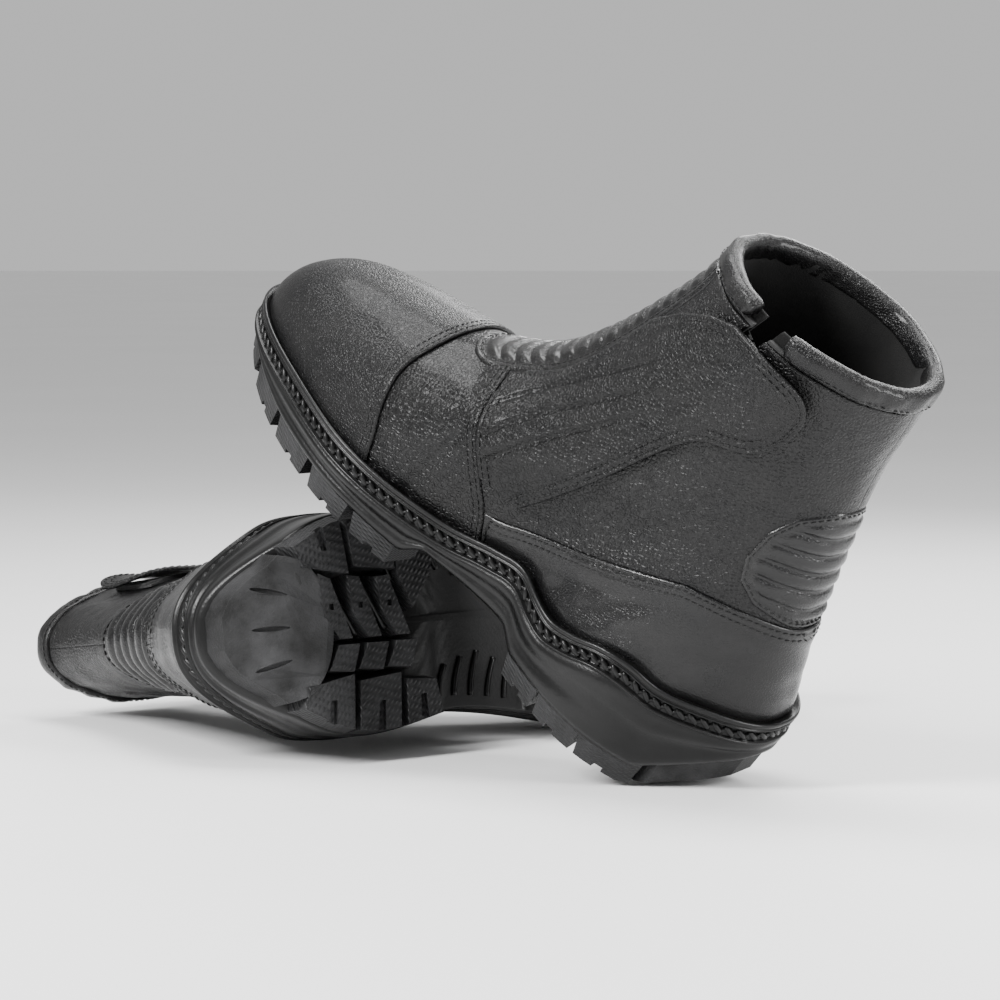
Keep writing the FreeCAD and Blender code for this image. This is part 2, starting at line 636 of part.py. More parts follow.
def build_upper(form, outline, boot, blank):
    """Leather panels, overlays, interlining and lining."""
    slot, collar_slot = zip_openings(form)
    above = level_cut(form, size("binding") + GAP)
    vamp = outline.prism(VAMP_SEAM + [(330, -20), (128, -20)])
    heel_pad = outline.prism(HEEL_PAD)
    ankle = outline.below(ANKLE_SEAM)
    strip = instep_strip(form, 0.0)
    outer_half = Part.makeBox(2.0 * FAR, FAR, 2.0 * FAR, Vector(-FAR, 0 if form.side > 0 else -FAR, -FAR))

    leather = form.layer(LEATHER_IN, 0.0).cut([above, slot])
    padded = form.layer(LEATHER_IN, size("pad_rise")).cut([above, slot])
    node("vamp", feature(boot + "_vamp_skin", leather.common(vamp).cut(strip)), boot)
    rest = leather.cut([vamp, strip, heel_pad])
    node("ankle_panel", feature(boot + "_ankle_skin", rest.common(ankle)), boot)
    quarters = rest.cut(ankle)
    node("outer_quarter", feature(boot + "_outer_skin", quarters.common(outer_half)), boot)
    node("inner_quarter", feature(boot + "_inner_skin", quarters.cut(outer_half)), boot)
    node("instep_pad", feature(boot + "_instep_skin", padded.common(strip)), boot)
    node("heel_pad", feature(boot + "_heel_pad_skin", padded.common(heel_pad).cut(strip)), boot)

    toe = outline.prism(TOE_SEAM + [(330, -20), (192, -20)])
    overlay = form.layer(GAP, GAP + size("overlay")).common(toe).cut([blank.Shape, strip])
    node("toe_overlay", feature(boot + "_toe_skin", overlay), boot)

    binding = form.layer(LINING_IN, size("binding_rise")).common(level_cut(form, size("binding")))
    node("collar_binding", feature(boot + "_binding_skin", binding.cut(collar_slot)), boot)

    middle = form.hollow(MIDDLE_IN, MIDDLE_OUT, above).cut(slot)
    toe_x = form.profile(1, True)[0] - size("toe_cap_length")
    toe_box = Part.makeBox(FAR, 2.0 * FAR, 2.0 * FAR, Vector(toe_x, -FAR, -FAR))
    counter_scale = size("counter_height") / COUNTER[-1][1] / form.tall
    counter = outline.prism([(x, z * counter_scale) for x, z in COUNTER])
    node("toe_cap", feature(boot + "_cap_shell", middle.common(toe_box)), boot)
    node("heel_counter", feature(boot + "_counter_shell", middle.common(counter)), boot)
    node("interlining", feature(boot + "_foam_shell", middle.cut([toe_box, counter])), boot)
    lining = form.hollow(LINING_IN, LINING_OUT, above)
    outer_lining = lining.common(outer_half).cut(slot)
    node("outer_lining", feature(boot + "_outer_lining_skin", outer_lining), boot)
    node("inner_lining", feature(boot + "_inner_lining_skin", lining.cut(outer_half)), boot)


FLAP_PATCH = (66, 170)  # middle of the touch fastener in side view


def build_flap(form, outline, boot):
    """The closure flap over the zip, and the touch fastener under its tab."""
    shape = outline.prism(FLAP_EDGE, half=True)
    clear = instep_strip(form, FLAP_CLEAR)
    above = level_cut(form, size("binding") + FLAP_CLEAR)
    flap = form.layer(FLAP_IN, FLAP_OUT).common(shape).cut([clear, above])
    node("closure_flap", feature(boot + "_flap_skin", flap), boot)
    x, z = FLAP_PATCH[0] * form.along, FLAP_PATCH[1] * form.tall
    long, wide = size("patch_length") / 2.0, size("patch_width") / 2.0
    signs = ((-1, -1), (1, -1), (1, 1), (-1, 1), (-1, -1))
    corners = [Vector(x + i * wide, 0, z + j * long) for i, j in signs]
    block = Part.Face(Part.makePolygon(corners)).extrude(Vector(0, form.side * FAR, 0))
    loop = form.layer(GAP, GAP + size("patch")).common(block)
    node("loop_patch", feature(boot + "_loop_skin", loop), boot)
    hook = form.layer(FLAP_IN - GAP - size("patch"), FLAP_IN - GAP).common(block).common(shape)
    node("hook_patch", feature(boot + "_hook_skin", hook), boot)


FLOOR_POINTS = 49       # points round the plates inside the sole


def build_inside(form, boot):
    """What lies under the foot: shank, steel sheet, board and footbed."""
    place = floor_frame(form)
    shank_corner = (SHANK_START, -size("shank_width") / 2.0)
    shank = padded_body(boot + "_shank_plate", shank_corner, "sizes.shank_length", "sizes.shank_width",
                        "sizes.shank_thick")
    below = Placement(Vector(0, 0, -size("shank_thick")), Rotation())
    node("steel_shank", shank, boot, place.multiply(below))
    floor = place.toMatrix()
    points = []
    for point in form.wire(0, LINING_IN - 2.0 * GAP).discretize(Number=FLOOR_POINTS)[:-1]:
        spot = place.inverse().multVec(point)
        points.append(floor.multVec(Vector(spot.x, spot.y, 0)))
    edge = Part.BSplineCurve()
    edge.interpolate(Points=points, PeriodicFlag=True)
    wire = Part.Wire([edge.toShape()])
    up = place.Rotation.multVec(Vector(0, 0, 1))
    height = GAP
    for name in ("steel_midsole", "board", "footbed"):
        face = Part.Face(wire.translated(up * height))
        label = "insole_board" if name == "board" else name
        node(label, extruded("%s_%s_plate" % (boot, name), face, up, "sizes." + name), boot)
        height += size(name) + GAP


def build_boot(boot, side, collar_width):
    """All sub-parts of one boot, in its own frame."""
    form = Form(side, collar_width)
    outline = Outline(form)
    blank, outsole = build_sole(form, outline, boot)
    doc.recompute()
    node("outsole", outsole, boot)
    build_upper(form, outline, boot, blank)
    build_flap(form, outline, boot)
    build_inside(form, boot)
    build_zip(form, boot)
    return form


build_boot("right", -1.0, size("right_collar_width"))
build_boot("left", 1.0, size("left_collar_width"))
doc.recompute()


# ---------------------------------------------------------------------------------------------
# How the pair lies.

def turned(forward, up_hint, roll):
    """The rotation that points X along forward and Z near up_hint, rolled about X."""
    turn = Rotation(forward, Vector(), up_hint, "XZY")
    return turn.multiply(Rotation(Vector(1, 0, 0), roll))


def lying_turn():
    """The right boot lies on its inner side, its collar dropped until it touches."""
    heading = math.radians(size("lie_heading"))
    forward = Vector(math.cos(heading), math.sin(heading), 0)
    shaft = Vector(-math.sin(heading), math.cos(heading), 0)
    return turned(forward, shaft, -size("lie_tilt"))


def leaning_turn(pitch):
    """The left boot stands on the back of its heel with its toe raised by pitch degrees."""
    heading = math.radians(size("lean_heading"))
    rise = math.radians(pitch)
    flat = Vector(-math.cos(heading), math.sin(heading), 0)
    forward = flat * math.cos(rise) + Vector(0, 0, math.sin(rise))
    up = flat * -math.sin(rise) + Vector(0, 0, math.cos(rise))
    return turned(forward, up, -size("lean_roll"))


def boot_shape(boot, names=None):
    """Some or all of a boot's sub-parts together, in the boot's frame."""
    shapes = []
    for name, (item, owner, place) in NODES.items():
        if owner == boot and (names is None or name[len(boot) + 1:] in names):
            shape = item.Shape.copy()
            shape.Placement = place.multiply(shape.Placement)
            shapes.append(shape)
    return Part.makeCompound(shapes)


def dropped(shape, turn, x, y):
    """The placement that turns a boot, puts its heel at x, y and sets it on the ground."""
    shape.Placement = Placement(Vector(x, y, 0), turn)
    low = shape.optimalBoundingBox(True, False).ZMin
    return Placement(Vector(x, y, -low), turn)


def resting_shift(points, place):
    """How far along X the left boot still has to move to rest on these points of the right boot."""
    up = place.Rotation.multVec(Vector(0, 0, 1))
    back = place.inverse()
    half = size("ball_width") / 2.0
    tread_end = TOE_LINE_START * size("sole_length")
    highest = -FAR
    for point in points:
        spot = back.multVec(point)
        if size("forefoot_start") < spot.x < tread_end and abs(spot.y) < half:
            highest = max(highest, spot.z)
    return (highest + size("rest_gap")) / up.x


FIRST_GAP_X = 190.0     # first guess between the two heels, along X
REST_STEPS = 4
MESH_STEP = 0.4         # fineness of the points the left boot rests on
TOUCHING = ("outsole", "vamp", "ankle_panel", "outer_quarter", "inner_quarter", "collar_binding",
            "toe_overlay")
right_place = dropped(boot_shape("right", TOUCHING), lying_turn(), 0.0, 0.0)
left_place = dropped(boot_shape("left", TOUCHING), leaning_turn(size("heel_bevel")), FIRST_GAP_X,
                     size("heel_gap_y"))
lying = boot_shape("right", ("outsole",))
lying.Placement = right_place
lying_points = lying.tessellate(MESH_STEP)[0]
for step in range(REST_STEPS):
    left_place.Base = left_place.Base + Vector(resting_shift(lying_points, left_place), 0, 0)
places = {"right": right_place, "left": left_place}

whole = FreeCAD.BoundBox()
for boot in ("right", "left"):
    shape = boot_shape(boot, TOUCHING)
    shape.Placement = places[boot]
    whole.add(shape.optimalBoundingBox(True, False))
centre = Placement(Vector(-whole.Center.x, -whole.Center.y, 0), Rotation())

for item, boot, place in NODES.values():
    item.Placement = centre.multiply(places[boot]).multiply(place).multiply(item.Placement)
doc.recompute()

for item in doc.Objects:
    if "Invalid" in item.State or "Error" in item.State:
        raise RuntimeError("%s did not build: %s" % (item.Name, item.State))
os.makedirs("parts", exist_ok=True)
for name, (item, boot, place) in NODES.items():
    shape = item.Shape
    if shape.isNull() or not shape.isValid() or not shape.Solids:
        raise RuntimeError("%s has no valid solid" % name)
    shape.exportStep(os.path.join("parts", name + ".step"))
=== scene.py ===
import math

import bmesh
import bpy
import numpy as np
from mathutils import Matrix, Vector


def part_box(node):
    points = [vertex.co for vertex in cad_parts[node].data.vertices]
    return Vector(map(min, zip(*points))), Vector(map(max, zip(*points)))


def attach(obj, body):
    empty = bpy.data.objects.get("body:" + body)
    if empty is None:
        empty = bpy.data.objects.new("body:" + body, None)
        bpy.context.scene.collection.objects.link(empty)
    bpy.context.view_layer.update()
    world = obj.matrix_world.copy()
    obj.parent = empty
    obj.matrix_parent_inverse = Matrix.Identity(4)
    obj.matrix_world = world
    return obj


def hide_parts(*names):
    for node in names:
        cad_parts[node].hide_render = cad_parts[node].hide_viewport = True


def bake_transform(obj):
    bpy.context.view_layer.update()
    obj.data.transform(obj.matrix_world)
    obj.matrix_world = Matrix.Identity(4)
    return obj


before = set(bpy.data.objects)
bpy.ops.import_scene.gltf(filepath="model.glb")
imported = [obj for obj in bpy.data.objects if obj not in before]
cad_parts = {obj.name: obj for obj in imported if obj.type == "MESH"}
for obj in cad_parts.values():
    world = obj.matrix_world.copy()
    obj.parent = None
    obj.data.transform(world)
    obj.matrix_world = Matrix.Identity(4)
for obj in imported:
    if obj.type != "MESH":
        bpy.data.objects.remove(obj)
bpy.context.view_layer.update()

# A pair of black leather fire boots. Each boot is worked out in its own frame, in millimetres:
# X from the back of the heel to the toe, Y towards the outer side, Z up from the tread. It is
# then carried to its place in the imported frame, in metres.

MM = 0.001

# Driving sizes, the same as the design's.
SOLE_LENGTH = 303.0
SHAFT_DEPTH = 98.0
LUG_DEPTH = 8.0
WAIST_LIFT = 18.0
TOE_SPRING = 13.0
HEEL_BEVEL = 38.5
HEEL_BEVEL_LENGTH = 30.0
HEEL_LENGTH = 97.0
FOREFOOT_START = 166.0
RIM_STEP = 4.5
LEATHER = 2.2
FLAP_IN = 2.2
FLAP_OUT = 4.2
LINING_OUT = -4.4
LINING_IN = -5.8
PAD_HALF_WIDTH, PAD_TIP, PAD_TURN, PAD_BACK, PAD_LOW = 22.0, 203.0, 150.0, 85.0, 60.0
COLLAR_WIDTH = {"left": 80.0, "right": 52.0}
SIDE = {"left": 1.0, "right": -1.0}
SHANK_START, SHANK_LENGTH, SHANK_THICK = 78.0, 104.0, 1.6
ZIP_SET_BACK, ZIP_DROP, ZIP_LENGTH, ZIP_LEAN, ZIP_SLOT = 38.0, 16.0, 104.0, 22.0, 9.0
COLLAR_SPLIT = 20.0
COLLAR_BACK = 24.0
BOOT_HEIGHT = 205.0
WAIST_RISE, WAIST_FALL = 14.0, 12.0
FEATHER_BACK, FEATHER_FRONT = (5.0, 34.0), (297.0, 19.0)
SEAT_DROP = 2.2
SEAM_ROWS = (2.2, 5.0)
TOE_ROWS = (2.0, 4.8)
MOST_SWELL = 1.6
PAD_RIB, HEEL_RIBS = 8.2, 7
STITCH_PITCH = 3.1
CUTTER_START, GROOVE_DEPTH, NICK_DEPTH = -3.0, 2.2, 2.0
LEAN_HEADING, LEAN_ROLL, LIE_HEADING, LIE_TILT = 33.0, 9.0, 38.0, 7.6

# Level sections of the upper: front x, z; back x, z; half widths at back, heel, waist, ball, toe.
LEVELS = np.array([
    (297, 19, 5, 34, 46, 53, 36, 50, 46),
    (300, 28, 3, 44, 47, 54, 37, 51, 47),
    (299, 38, 2, 53, 46, 53, 37, 50, 47),
    (292, 50, 3, 61, 44, 51, 37, 49, 46),
    (279, 60, 5, 68, 42, 49, 37, 47, 43),
    (258, 69, 7, 76, 40, 46, 37, 45, 38),
    (232, 76, 10, 85, 37, 43, 37, 44, 34),
    (207, 84, 13, 96, 35, 41, 37, 43, 32),
    (186, 96, 16, 110, 33, 39, 38, 41, 31),
    (167, 112, 19, 127, 31, 37, 38, 39, 31),
    (151, 135, 22, 146, 31, 36, 38, 38, 32),
    (138, 160, 24, 167, 31, 36, 39, 38, 33),
    (127, 185, 24, 188, 32, 37, 40, 39, 34),
    (122, 205, 24, 206, 33, 38, 41, 40, 35),
], float)
WIDTH_PLACES = np.array((0.0, 0.15, 0.40, 0.72, 1.0))
TOP = len(LEVELS) - 1
SQUARENESS, TOE_SWING, SWING_START, SHAFT_START = 0.8, 7.0, 0.5, 5

# Outlines in side view, the same as the design's.
VAMP_SEAM = [(128, 0), (140, 47), (150, 60), (161, 76), (172, 92), (184, 112), (330, 112), (330, -20),
             (128, -20)]
ANKLE_SEAM = [(160, 46), (136, 50), (124, 56), (98, 67), (66, 83), (43, 94), (-60, 94), (-60, -40),
              (160, -40)]
HEEL_PAD = [(-30, 94), (43, 94), (35, 149), (-30, 157)]
TOE_SEAM = [(192, 0), (198, 37), (206, 58), (210, 72), (206, 95), (330, 95), (330, -20), (192, -20)]
FLAP_EDGE = [(171, 96), (160, 77), (148, 60), (139, 50), (120, 77), (102, 105), (92, 124), (83, 139),
             (76, 147), (66, 152), (56, 158), (49, 169), (47, 182), (52, 191), (62, 194), (104, 194)]
CHAIN_LINE = np.array([(310, 25), (280, 25), (250, 26.5), (210, 27), (170, 29), (146, 32), (128, 37),
                       (112, 40), (100, 36), (90, 34.5), (78, 38), (62, 45), (49, 47), (35, 45), (15, 47),
                       (-10, 50)], float)[::-1]


# ---------------------------------------------------------------------------------------------
# Small helpers.

def smooth(value):
    """A step from 0 to 1 with level ends."""
    value = np.clip(value, 0.0, 1.0)
    return value * value * (3.0 - 2.0 * value)


def bell(value, width):
    """A round hump, 1 at 0 and 0 beyond width."""
    return smooth(1.0 - np.abs(value) / width)


def unit(vectors):
    """The vectors at length 1."""
    return vectors / (np.linalg.norm(vectors, axis=-1, keepdims=True) + 1e-12)


def run_along(points):
    """The length of a line up to each of its points."""
    return np.concatenate([[0], np.cumsum(np.linalg.norm(np.diff(points, axis=0), axis=1))])


def ring_faces(rings, sides):
    """Quads between closed rings of points."""
    faces = []
    for ring in range(rings - 1):
        low, high = ring * sides, (ring + 1) * sides
        for k in range(sides):
            after = (k + 1) % sides
            faces.append((low + k, low + after, high + after, high + k))
    return faces


def capped(bottom, top):
    """A closed solid between two outlines with as many points each."""
    count = len(bottom)
    faces = [tuple(range(count)), tuple(range(2 * count - 1, count - 1, -1))]
    faces += [(k, count + k, count + (k + 1) % count, (k + 1) % count) for k in range(count)]
    return np.vstack([bottom, top]), faces


def cubic(places, values, x):
    """A smooth line through points (Catmull-Rom slopes), for an array of places."""
    x = np.clip(np.asarray(x, float), places[0], places[-1])
    slopes = np.gradient(values, places)
    k = np.clip(np.searchsorted(places, x, side="right") - 1, 0, len(places) - 2)
    step = places[k + 1] - places[k]
    t = (x - places[k]) / step
    t2, t3 = t * t, t * t * t
    return (values[k] * (2 * t3 - 3 * t2 + 1) + slopes[k] * step * (t3 - 2 * t2 + t)
            + values[k + 1] * (3 * t2 - 2 * t3) + slopes[k + 1] * step * (t3 - t2))


def rounded(points, passes=2):
    """A closed outline with its corners cut round."""
    points = np.array(points, float)
    for _ in range(passes):
        after = np.roll(points, -1, 0)
        points = np.stack([0.75 * points + 0.25 * after, 0.25 * points + 0.75 * after], 1).reshape(-1, 2)
    return points


def inside(x, z, outline):
    """Signed distance to a closed outline, positive inside."""
    ends = np.roll(outline, -1, 0)
    best = np.full(x.shape, 1e9)
    odd = np.zeros(x.shape, bool)
    for (ax, az), (bx, bz) in zip(outline, ends):
        dx, dz = bx - ax, bz - az
        t = np.clip(((x - ax) * dx + (z - az) * dz) / (dx * dx + dz * dz + 1e-12), 0, 1)
        best = np.minimum(best, np.hypot(x - ax - t * dx, z - az - t * dz))
        crosses = (az > z) != (bz > z)
        odd ^= crosses & (x < ax + dx * (z - az) / (dz if abs(dz) > 1e-9 else 1e-9))
    return np.where(odd, best, -best)


def waves(points, scale, seed):
    """Soft, seeded unevenness between about -1 and 1, a sum of sines."""
    rng = np.random.default_rng(seed)
    total = np.zeros(len(points))
    for octave in range(6):
        direction = rng.normal(size=3)
        direction /= np.linalg.norm(direction)
        length = scale * rng.uniform(0.6, 1.6)
        total += np.sin(points @ direction * 2 * math.pi / length + rng.uniform(0, 6.28)) / 2.5
    return total / 1.6


# ---------------------------------------------------------------------------------------------
# The form of the upper.

class Form:
    """The leather's outer face of one boot as a grid, with its normals."""

    def __init__(self, boot):
        self.boot = boot
        self.side = SIDE[boot]
        self.collar = COLLAR_WIDTH[boot] / 2.0
        rise = smooth((np.arange(TOP + 1) - SHAFT_START) / (TOP - SHAFT_START))
        rows = LEVELS.copy()
        rows[:, 0] += (rows[TOP, 2] + SHAFT_DEPTH - rows[TOP, 0]) * rise
        shaft = rows[:, 4:] * self.collar / rows[TOP, 4:].max()
        rows[:, 4:] += (shaft - rows[:, 4:]) * rise[:, None]
        self.rows = rows

    def ring(self, angle, level):
        """Points on the face for angles (0 at the back, pi at the front) and levels."""
        row = np.stack([cubic(np.arange(TOP + 1.0), self.rows[:, k], level) for k in range(9)], -1)
        place = (1 - np.cos(angle)) / 2
        k = np.clip(np.searchsorted(WIDTH_PLACES, place, side="right") - 1, 0, 3)
        share = smooth((place - WIDTH_PLACES[k]) / (WIDTH_PLACES[k + 1] - WIDTH_PLACES[k]))
        low = np.take_along_axis(row[..., 4:], k[..., None], -1)[..., 0]
        high = np.take_along_axis(row[..., 4:], k[..., None] + 1, -1)[..., 0]
        width = low + (high - low) * share
        x = row[..., 2] + (row[..., 0] - row[..., 2]) * place
        z = row[..., 3] + (row[..., 1] - row[..., 3]) * place
        sine = np.sin(angle)
        y = np.sign(sine) * np.abs(sine) ** SQUARENESS * width
        return np.stack([x, y - swing(x), z], -1)

    def face(self, angle, level):
        """Points and outward normals."""
        point = self.ring(angle, level)
        step = 1e-3
        along = self.ring(angle + step, level) - self.ring(angle - step, level)
        upper = np.clip(level + step, 0, TOP)
        lower = np.clip(level - step, 0, TOP)
        rise = self.ring(angle, upper) - self.ring(angle, lower)
        normal = unit(np.cross(rise, along))
        centre = self.ring(np.full_like(angle, math.pi / 2), level) * np.array([1, 0, 1])
        flip = np.sum(normal * (point - centre), -1) < 0
        normal[flip] *= -1
        return point, normal


def swing(x):
    """How far the middle of the foot lies to the inner side."""
    return TOE_SWING * smooth((x / SOLE_LENGTH - SWING_START) / (1 - SWING_START))


# ---------------------------------------------------------------------------------------------
# Panels cut from the form.

class Panel:
    """A piece of leather as polygons over (angle, level), cut to a field that is positive inside."""

    def __init__(self, form, field, angles, levels):
        self.form = form
        grid_a, grid_l = np.meshgrid(angles, levels)
        self.uv = np.stack([grid_a.ravel(), grid_l.ravel()], -1)
        points = form.ring(self.uv[:, 0], self.uv[:, 1])
        self.value = field(points)
        columns = len(angles)
        index = np.arange(len(self.uv)).reshape(len(levels), columns)
        quads = np.stack([index[:-1, :-1], index[:-1, 1:], index[1:, 1:], index[1:, :-1]], -1).reshape(-1, 4)
        if abs((angles[-1] - angles[0]) - 2 * math.pi) < 1e-9:
            wrap = index.copy()
            wrap[:, -1] = wrap[:, 0]
            quads = np.stack([wrap[:-1, :-1], wrap[:-1, 1:], wrap[1:, 1:], wrap[1:, :-1]], -1).reshape(-1, 4)
        keep = self.value[quads].max(1) > 0
        self.faces = [tuple(quad) for quad in quads[keep]]

    def cut(self, level):
        """Splits the polygons along value == level."""
        uv, value = list(self.uv), list(self.value)
        made, faces = {}, []
        for face in self.faces:
            high = [value[k] >= level for k in face]
            if all(high) or not any(high):
                faces.append(face)
                continue
            above, below = [], []
            count = len(face)
            for k in range(count):
                a, b = face[k], face[(k + 1) % count]
                (above if value[a] >= level else below).append(a)
                if (value[a] >= level) != (value[b] >= level):
                    key = (min(a, b), max(a, b))
                    if key not in made:
                        t = (level - value[a]) / (value[b] - value[a])
                        ua, ub = np.array(uv[a]), np.array(uv[b])
                        if ub[0] - ua[0] > math.pi:
                            ub = ub - (2 * math.pi, 0)
                        elif ua[0] - ub[0] > math.pi:
                            ua = ua - (2 * math.pi, 0)
                        made[key] = len(uv)
                        uv.append(ua + (ub - ua) * t)
                        value.append(level)
                    above.append(made[key])
                    below.append(made[key])
            for part in (above, below):
                if len(part) > 2:
                    faces.append(tuple(part))
        self.uv, self.value, self.faces = np.array(uv), np.array(value), faces

    def trim(self, level=0.0):
        """Drops what lies under the level, and points no longer used."""
        self.cut(level)
        self.faces = [f for f in self.faces if sum(self.value[k] for k in f) / len(f) > level]
        used = sorted({k for f in self.faces for k in f})
        place = {k: i for i, k in enumerate(used)}
        self.uv, self.value = self.uv[used], self.value[used]
        self.faces = [tuple(place[k] for k in f) for f in self.faces]

    def rims(self):
        """Directed edges that only one face uses."""
        edges = {}
        for f in self.faces:
            for k in range(len(f)):
                edges[(f[k], f[(k + 1) % len(f)])] = True
        return [(a, b) for a, b in edges if (b, a) not in edges]

    def solid(self, outer, inner):
        """Points and faces of the closed piece between two offsets; each is a number or an array."""
        point, normal = self.form.face(self.uv[:, 0], self.uv[:, 1])
        top = point + normal * np.broadcast_to(outer, len(point))[:, None]
        bottom = point + normal * np.broadcast_to(inner, len(point))[:, None]
        count = len(point)
        faces = [tuple(f) for f in self.faces]
        faces += [tuple(k + count for k in reversed(f)) for f in self.faces]
        faces += [(b, a, a + count, b + count) for a, b in self.rims()]
        return np.vstack([top, bottom]), faces


def edge_drop(value, radius):
    """How far a rounded edge falls below the face, by distance from the edge."""
    t = np.clip(1 - value / radius, 0, 1)
    return radius * 0.75 * (1 - np.sqrt(np.clip(1 - t * t, 0, 1)))


def merged(parts):
    """Several pieces of mesh as one."""
    points, faces, start = [], [], 0
    for some, its_faces in parts:
        points.append(np.asarray(some, float))
        faces += [tuple(k + start for k in f) for f in its_faces]
        start += len(some)
    return np.vstack(points), faces


def contours(panel, level, values=None):
    """Chained lines over (angle, level) where the value has this level."""
    values = panel.value if values is None else values
    nodes, links = {}, {}
    for face in panel.faces:
        hits = []
        for k in range(len(face)):
            a, b = face[k], face[(k + 1) % len(face)]
            if (values[a] >= level) != (values[b] >= level):
                key = (min(a, b), max(a, b))
                if key not in nodes:
                    t = (level - values[a]) / (values[b] - values[a])
                    ua, ub = panel.uv[a].copy(), panel.uv[b].copy()
                    if abs(ub[0] - ua[0]) > math.pi:
                        ub[0] += math.copysign(2 * math.pi, ua[0] - ub[0])
                    nodes[key] = ua + (ub - ua) * t
                hits.append(key)
        if len(hits) == 2:
            links.setdefault(hits[0], []).append(hits[1])
            links.setdefault(hits[1], []).append(hits[0])
    lines, seen = [], set()
    starts = sorted(links, key=lambda key: len(links[key]))
    for first in starts:
        if first in seen:
            continue
        line, now = [first], first
        seen.add(first)
        while True:
            after = [key for key in links[now] if key not in seen]
            if not after:
                break
            now = after[0]
            seen.add(now)
            line.append(now)
        if len(line) > 3:
            lines.append(np.array([nodes[key] for key in line]))
    return lines


def resampled(points, pitch):
    """Evenly spaced places along a line, with their directions."""
    run = run_along(points)
    if run[-1] < pitch:
        return np.zeros((0, points.shape[1])), np.zeros((0, points.shape[1]))

    def at(places):
        return np.stack([np.interp(places, run, column) for column in points.T], -1)

    places = np.arange(pitch / 2, run[-1], pitch)
    step = pitch * 0.25
    return at(places), unit(at(places + step) - at(places - step))


def beads(centres, ahead, normal, length, width, height, sides=8, rings=5):
    """Small rounded pieces lying along a line: stitches, links of the rope band."""
    across = unit(np.cross(normal, ahead))
    turn = np.linspace(0, math.pi, rings + 2)[1:-1]
    round_ = np.linspace(0, 2 * math.pi, sides, endpoint=False)
    shape = [(-1.0, 0.0, 0.0)]
    for t in turn:
        reach = math.sin(t) ** 0.6
        shape += [(-math.cos(t), reach * math.cos(r), reach * math.sin(r)) for r in round_]
    shape.append((1.0, 0.0, 0.0))
    shape = np.array(shape) * (length / 2, width / 2, height / 2)
    count = len(shape)
    faces = []
    for k in range(sides):
        after = (k + 1) % sides
        faces.append((0, 1 + after, 1 + k))
        for ring in range(rings - 1):
            a, b = 1 + ring * sides, 1 + (ring + 1) * sides
            faces.append((a + k, a + after, b + after, b + k))
        last = 1 + (rings - 1) * sides
        faces.append((last + k, last + after, count - 1))
    points = (centres[:, None] + shape[None, :, :1] * ahead[:, None] + shape[None, :, 1:2] * across[:, None]
              + shape[None, :, 2:] * normal[:, None])
    all_faces = [tuple(v + k * count for v in f) for k in range(len(centres)) for f in faces]
    return points.reshape(-1, 3), all_faces


def tube(line, radius, sides=8):
    """A round bar along a level line, closed at its ends."""
    line = np.asarray(line, float)
    ahead = unit(np.gradient(line, axis=0))
    across = unit(np.cross(np.broadcast_to((0, 0, 1), ahead.shape), ahead))
    up = np.cross(ahead, across)
    round_ = np.linspace(0, 2 * math.pi, sides, endpoint=False)
    ring = np.cos(round_)[None, :, None] * across[:, None] + np.sin(round_)[None, :, None] * up[:, None]
    points = (line[:, None] + radius * ring).reshape(-1, 3)
    faces = ring_faces(len(line), sides)
    faces.append(tuple(range(sides)))
    faces.append(tuple(range((len(line) - 1) * sides, len(line) * sides))[::-1])
    return points, faces


def stitches(form, lines, lift, pitch=STITCH_PITCH):
    """Two-thread lock stitches along lines over the form."""
    parts = []
    for line in lines:
        point, _ = form.face(line[:, 0], line[:, 1])
        places, _ = resampled(np.hstack([point, line]), pitch)
        if not len(places):
            continue
        here, normal = form.face(places[:, 3], places[:, 4])
        ahead = unit(np.gradient(here, axis=0) if len(here) > 1 else np.ones_like(here))
        ahead += np.cross(normal, ahead) * 0.12
        parts.append(beads(here + normal * lift, ahead, normal, pitch * 0.78, 0.62, 0.55, 6, 3))
    return parts


# ---------------------------------------------------------------------------------------------
# The sole.

def rim_top(x):
    """Height of the rim's top edge along the boot."""
    return cubic(CHAIN_LINE[:, 0], CHAIN_LINE[:, 1], x) + 5.0


def waist_share(x):
    """1 under the waist, where there are no lugs, and 0 under the heel and the forefoot."""
    return smooth((x - HEEL_LENGTH) / WAIST_RISE) * smooth((FOREFOOT_START - x) / WAIST_FALL)


def tread(x):
    """Height of the walking face along the boot."""
    x = np.asarray(x, float)
    bevel = np.maximum(HEEL_BEVEL_LENGTH - x, 0) * math.tan(math.radians(HEEL_BEVEL))
    waist = WAIST_LIFT * waist_share(x)
    start = 0.8 * SOLE_LENGTH
    toe = TOE_SPRING * np.maximum((x - start) / (SOLE_LENGTH - start), 0) ** 2
    return bevel + waist + toe


def sole_floor(x):
    """Height of the sole's face between the lugs."""
    x = np.asarray(x, float)
    lifted = 1.3 * LUG_DEPTH * (1 - 0.999 * waist_share(x))
    return np.minimum(tread(x) + lifted, rim_top(x) - 12.5)


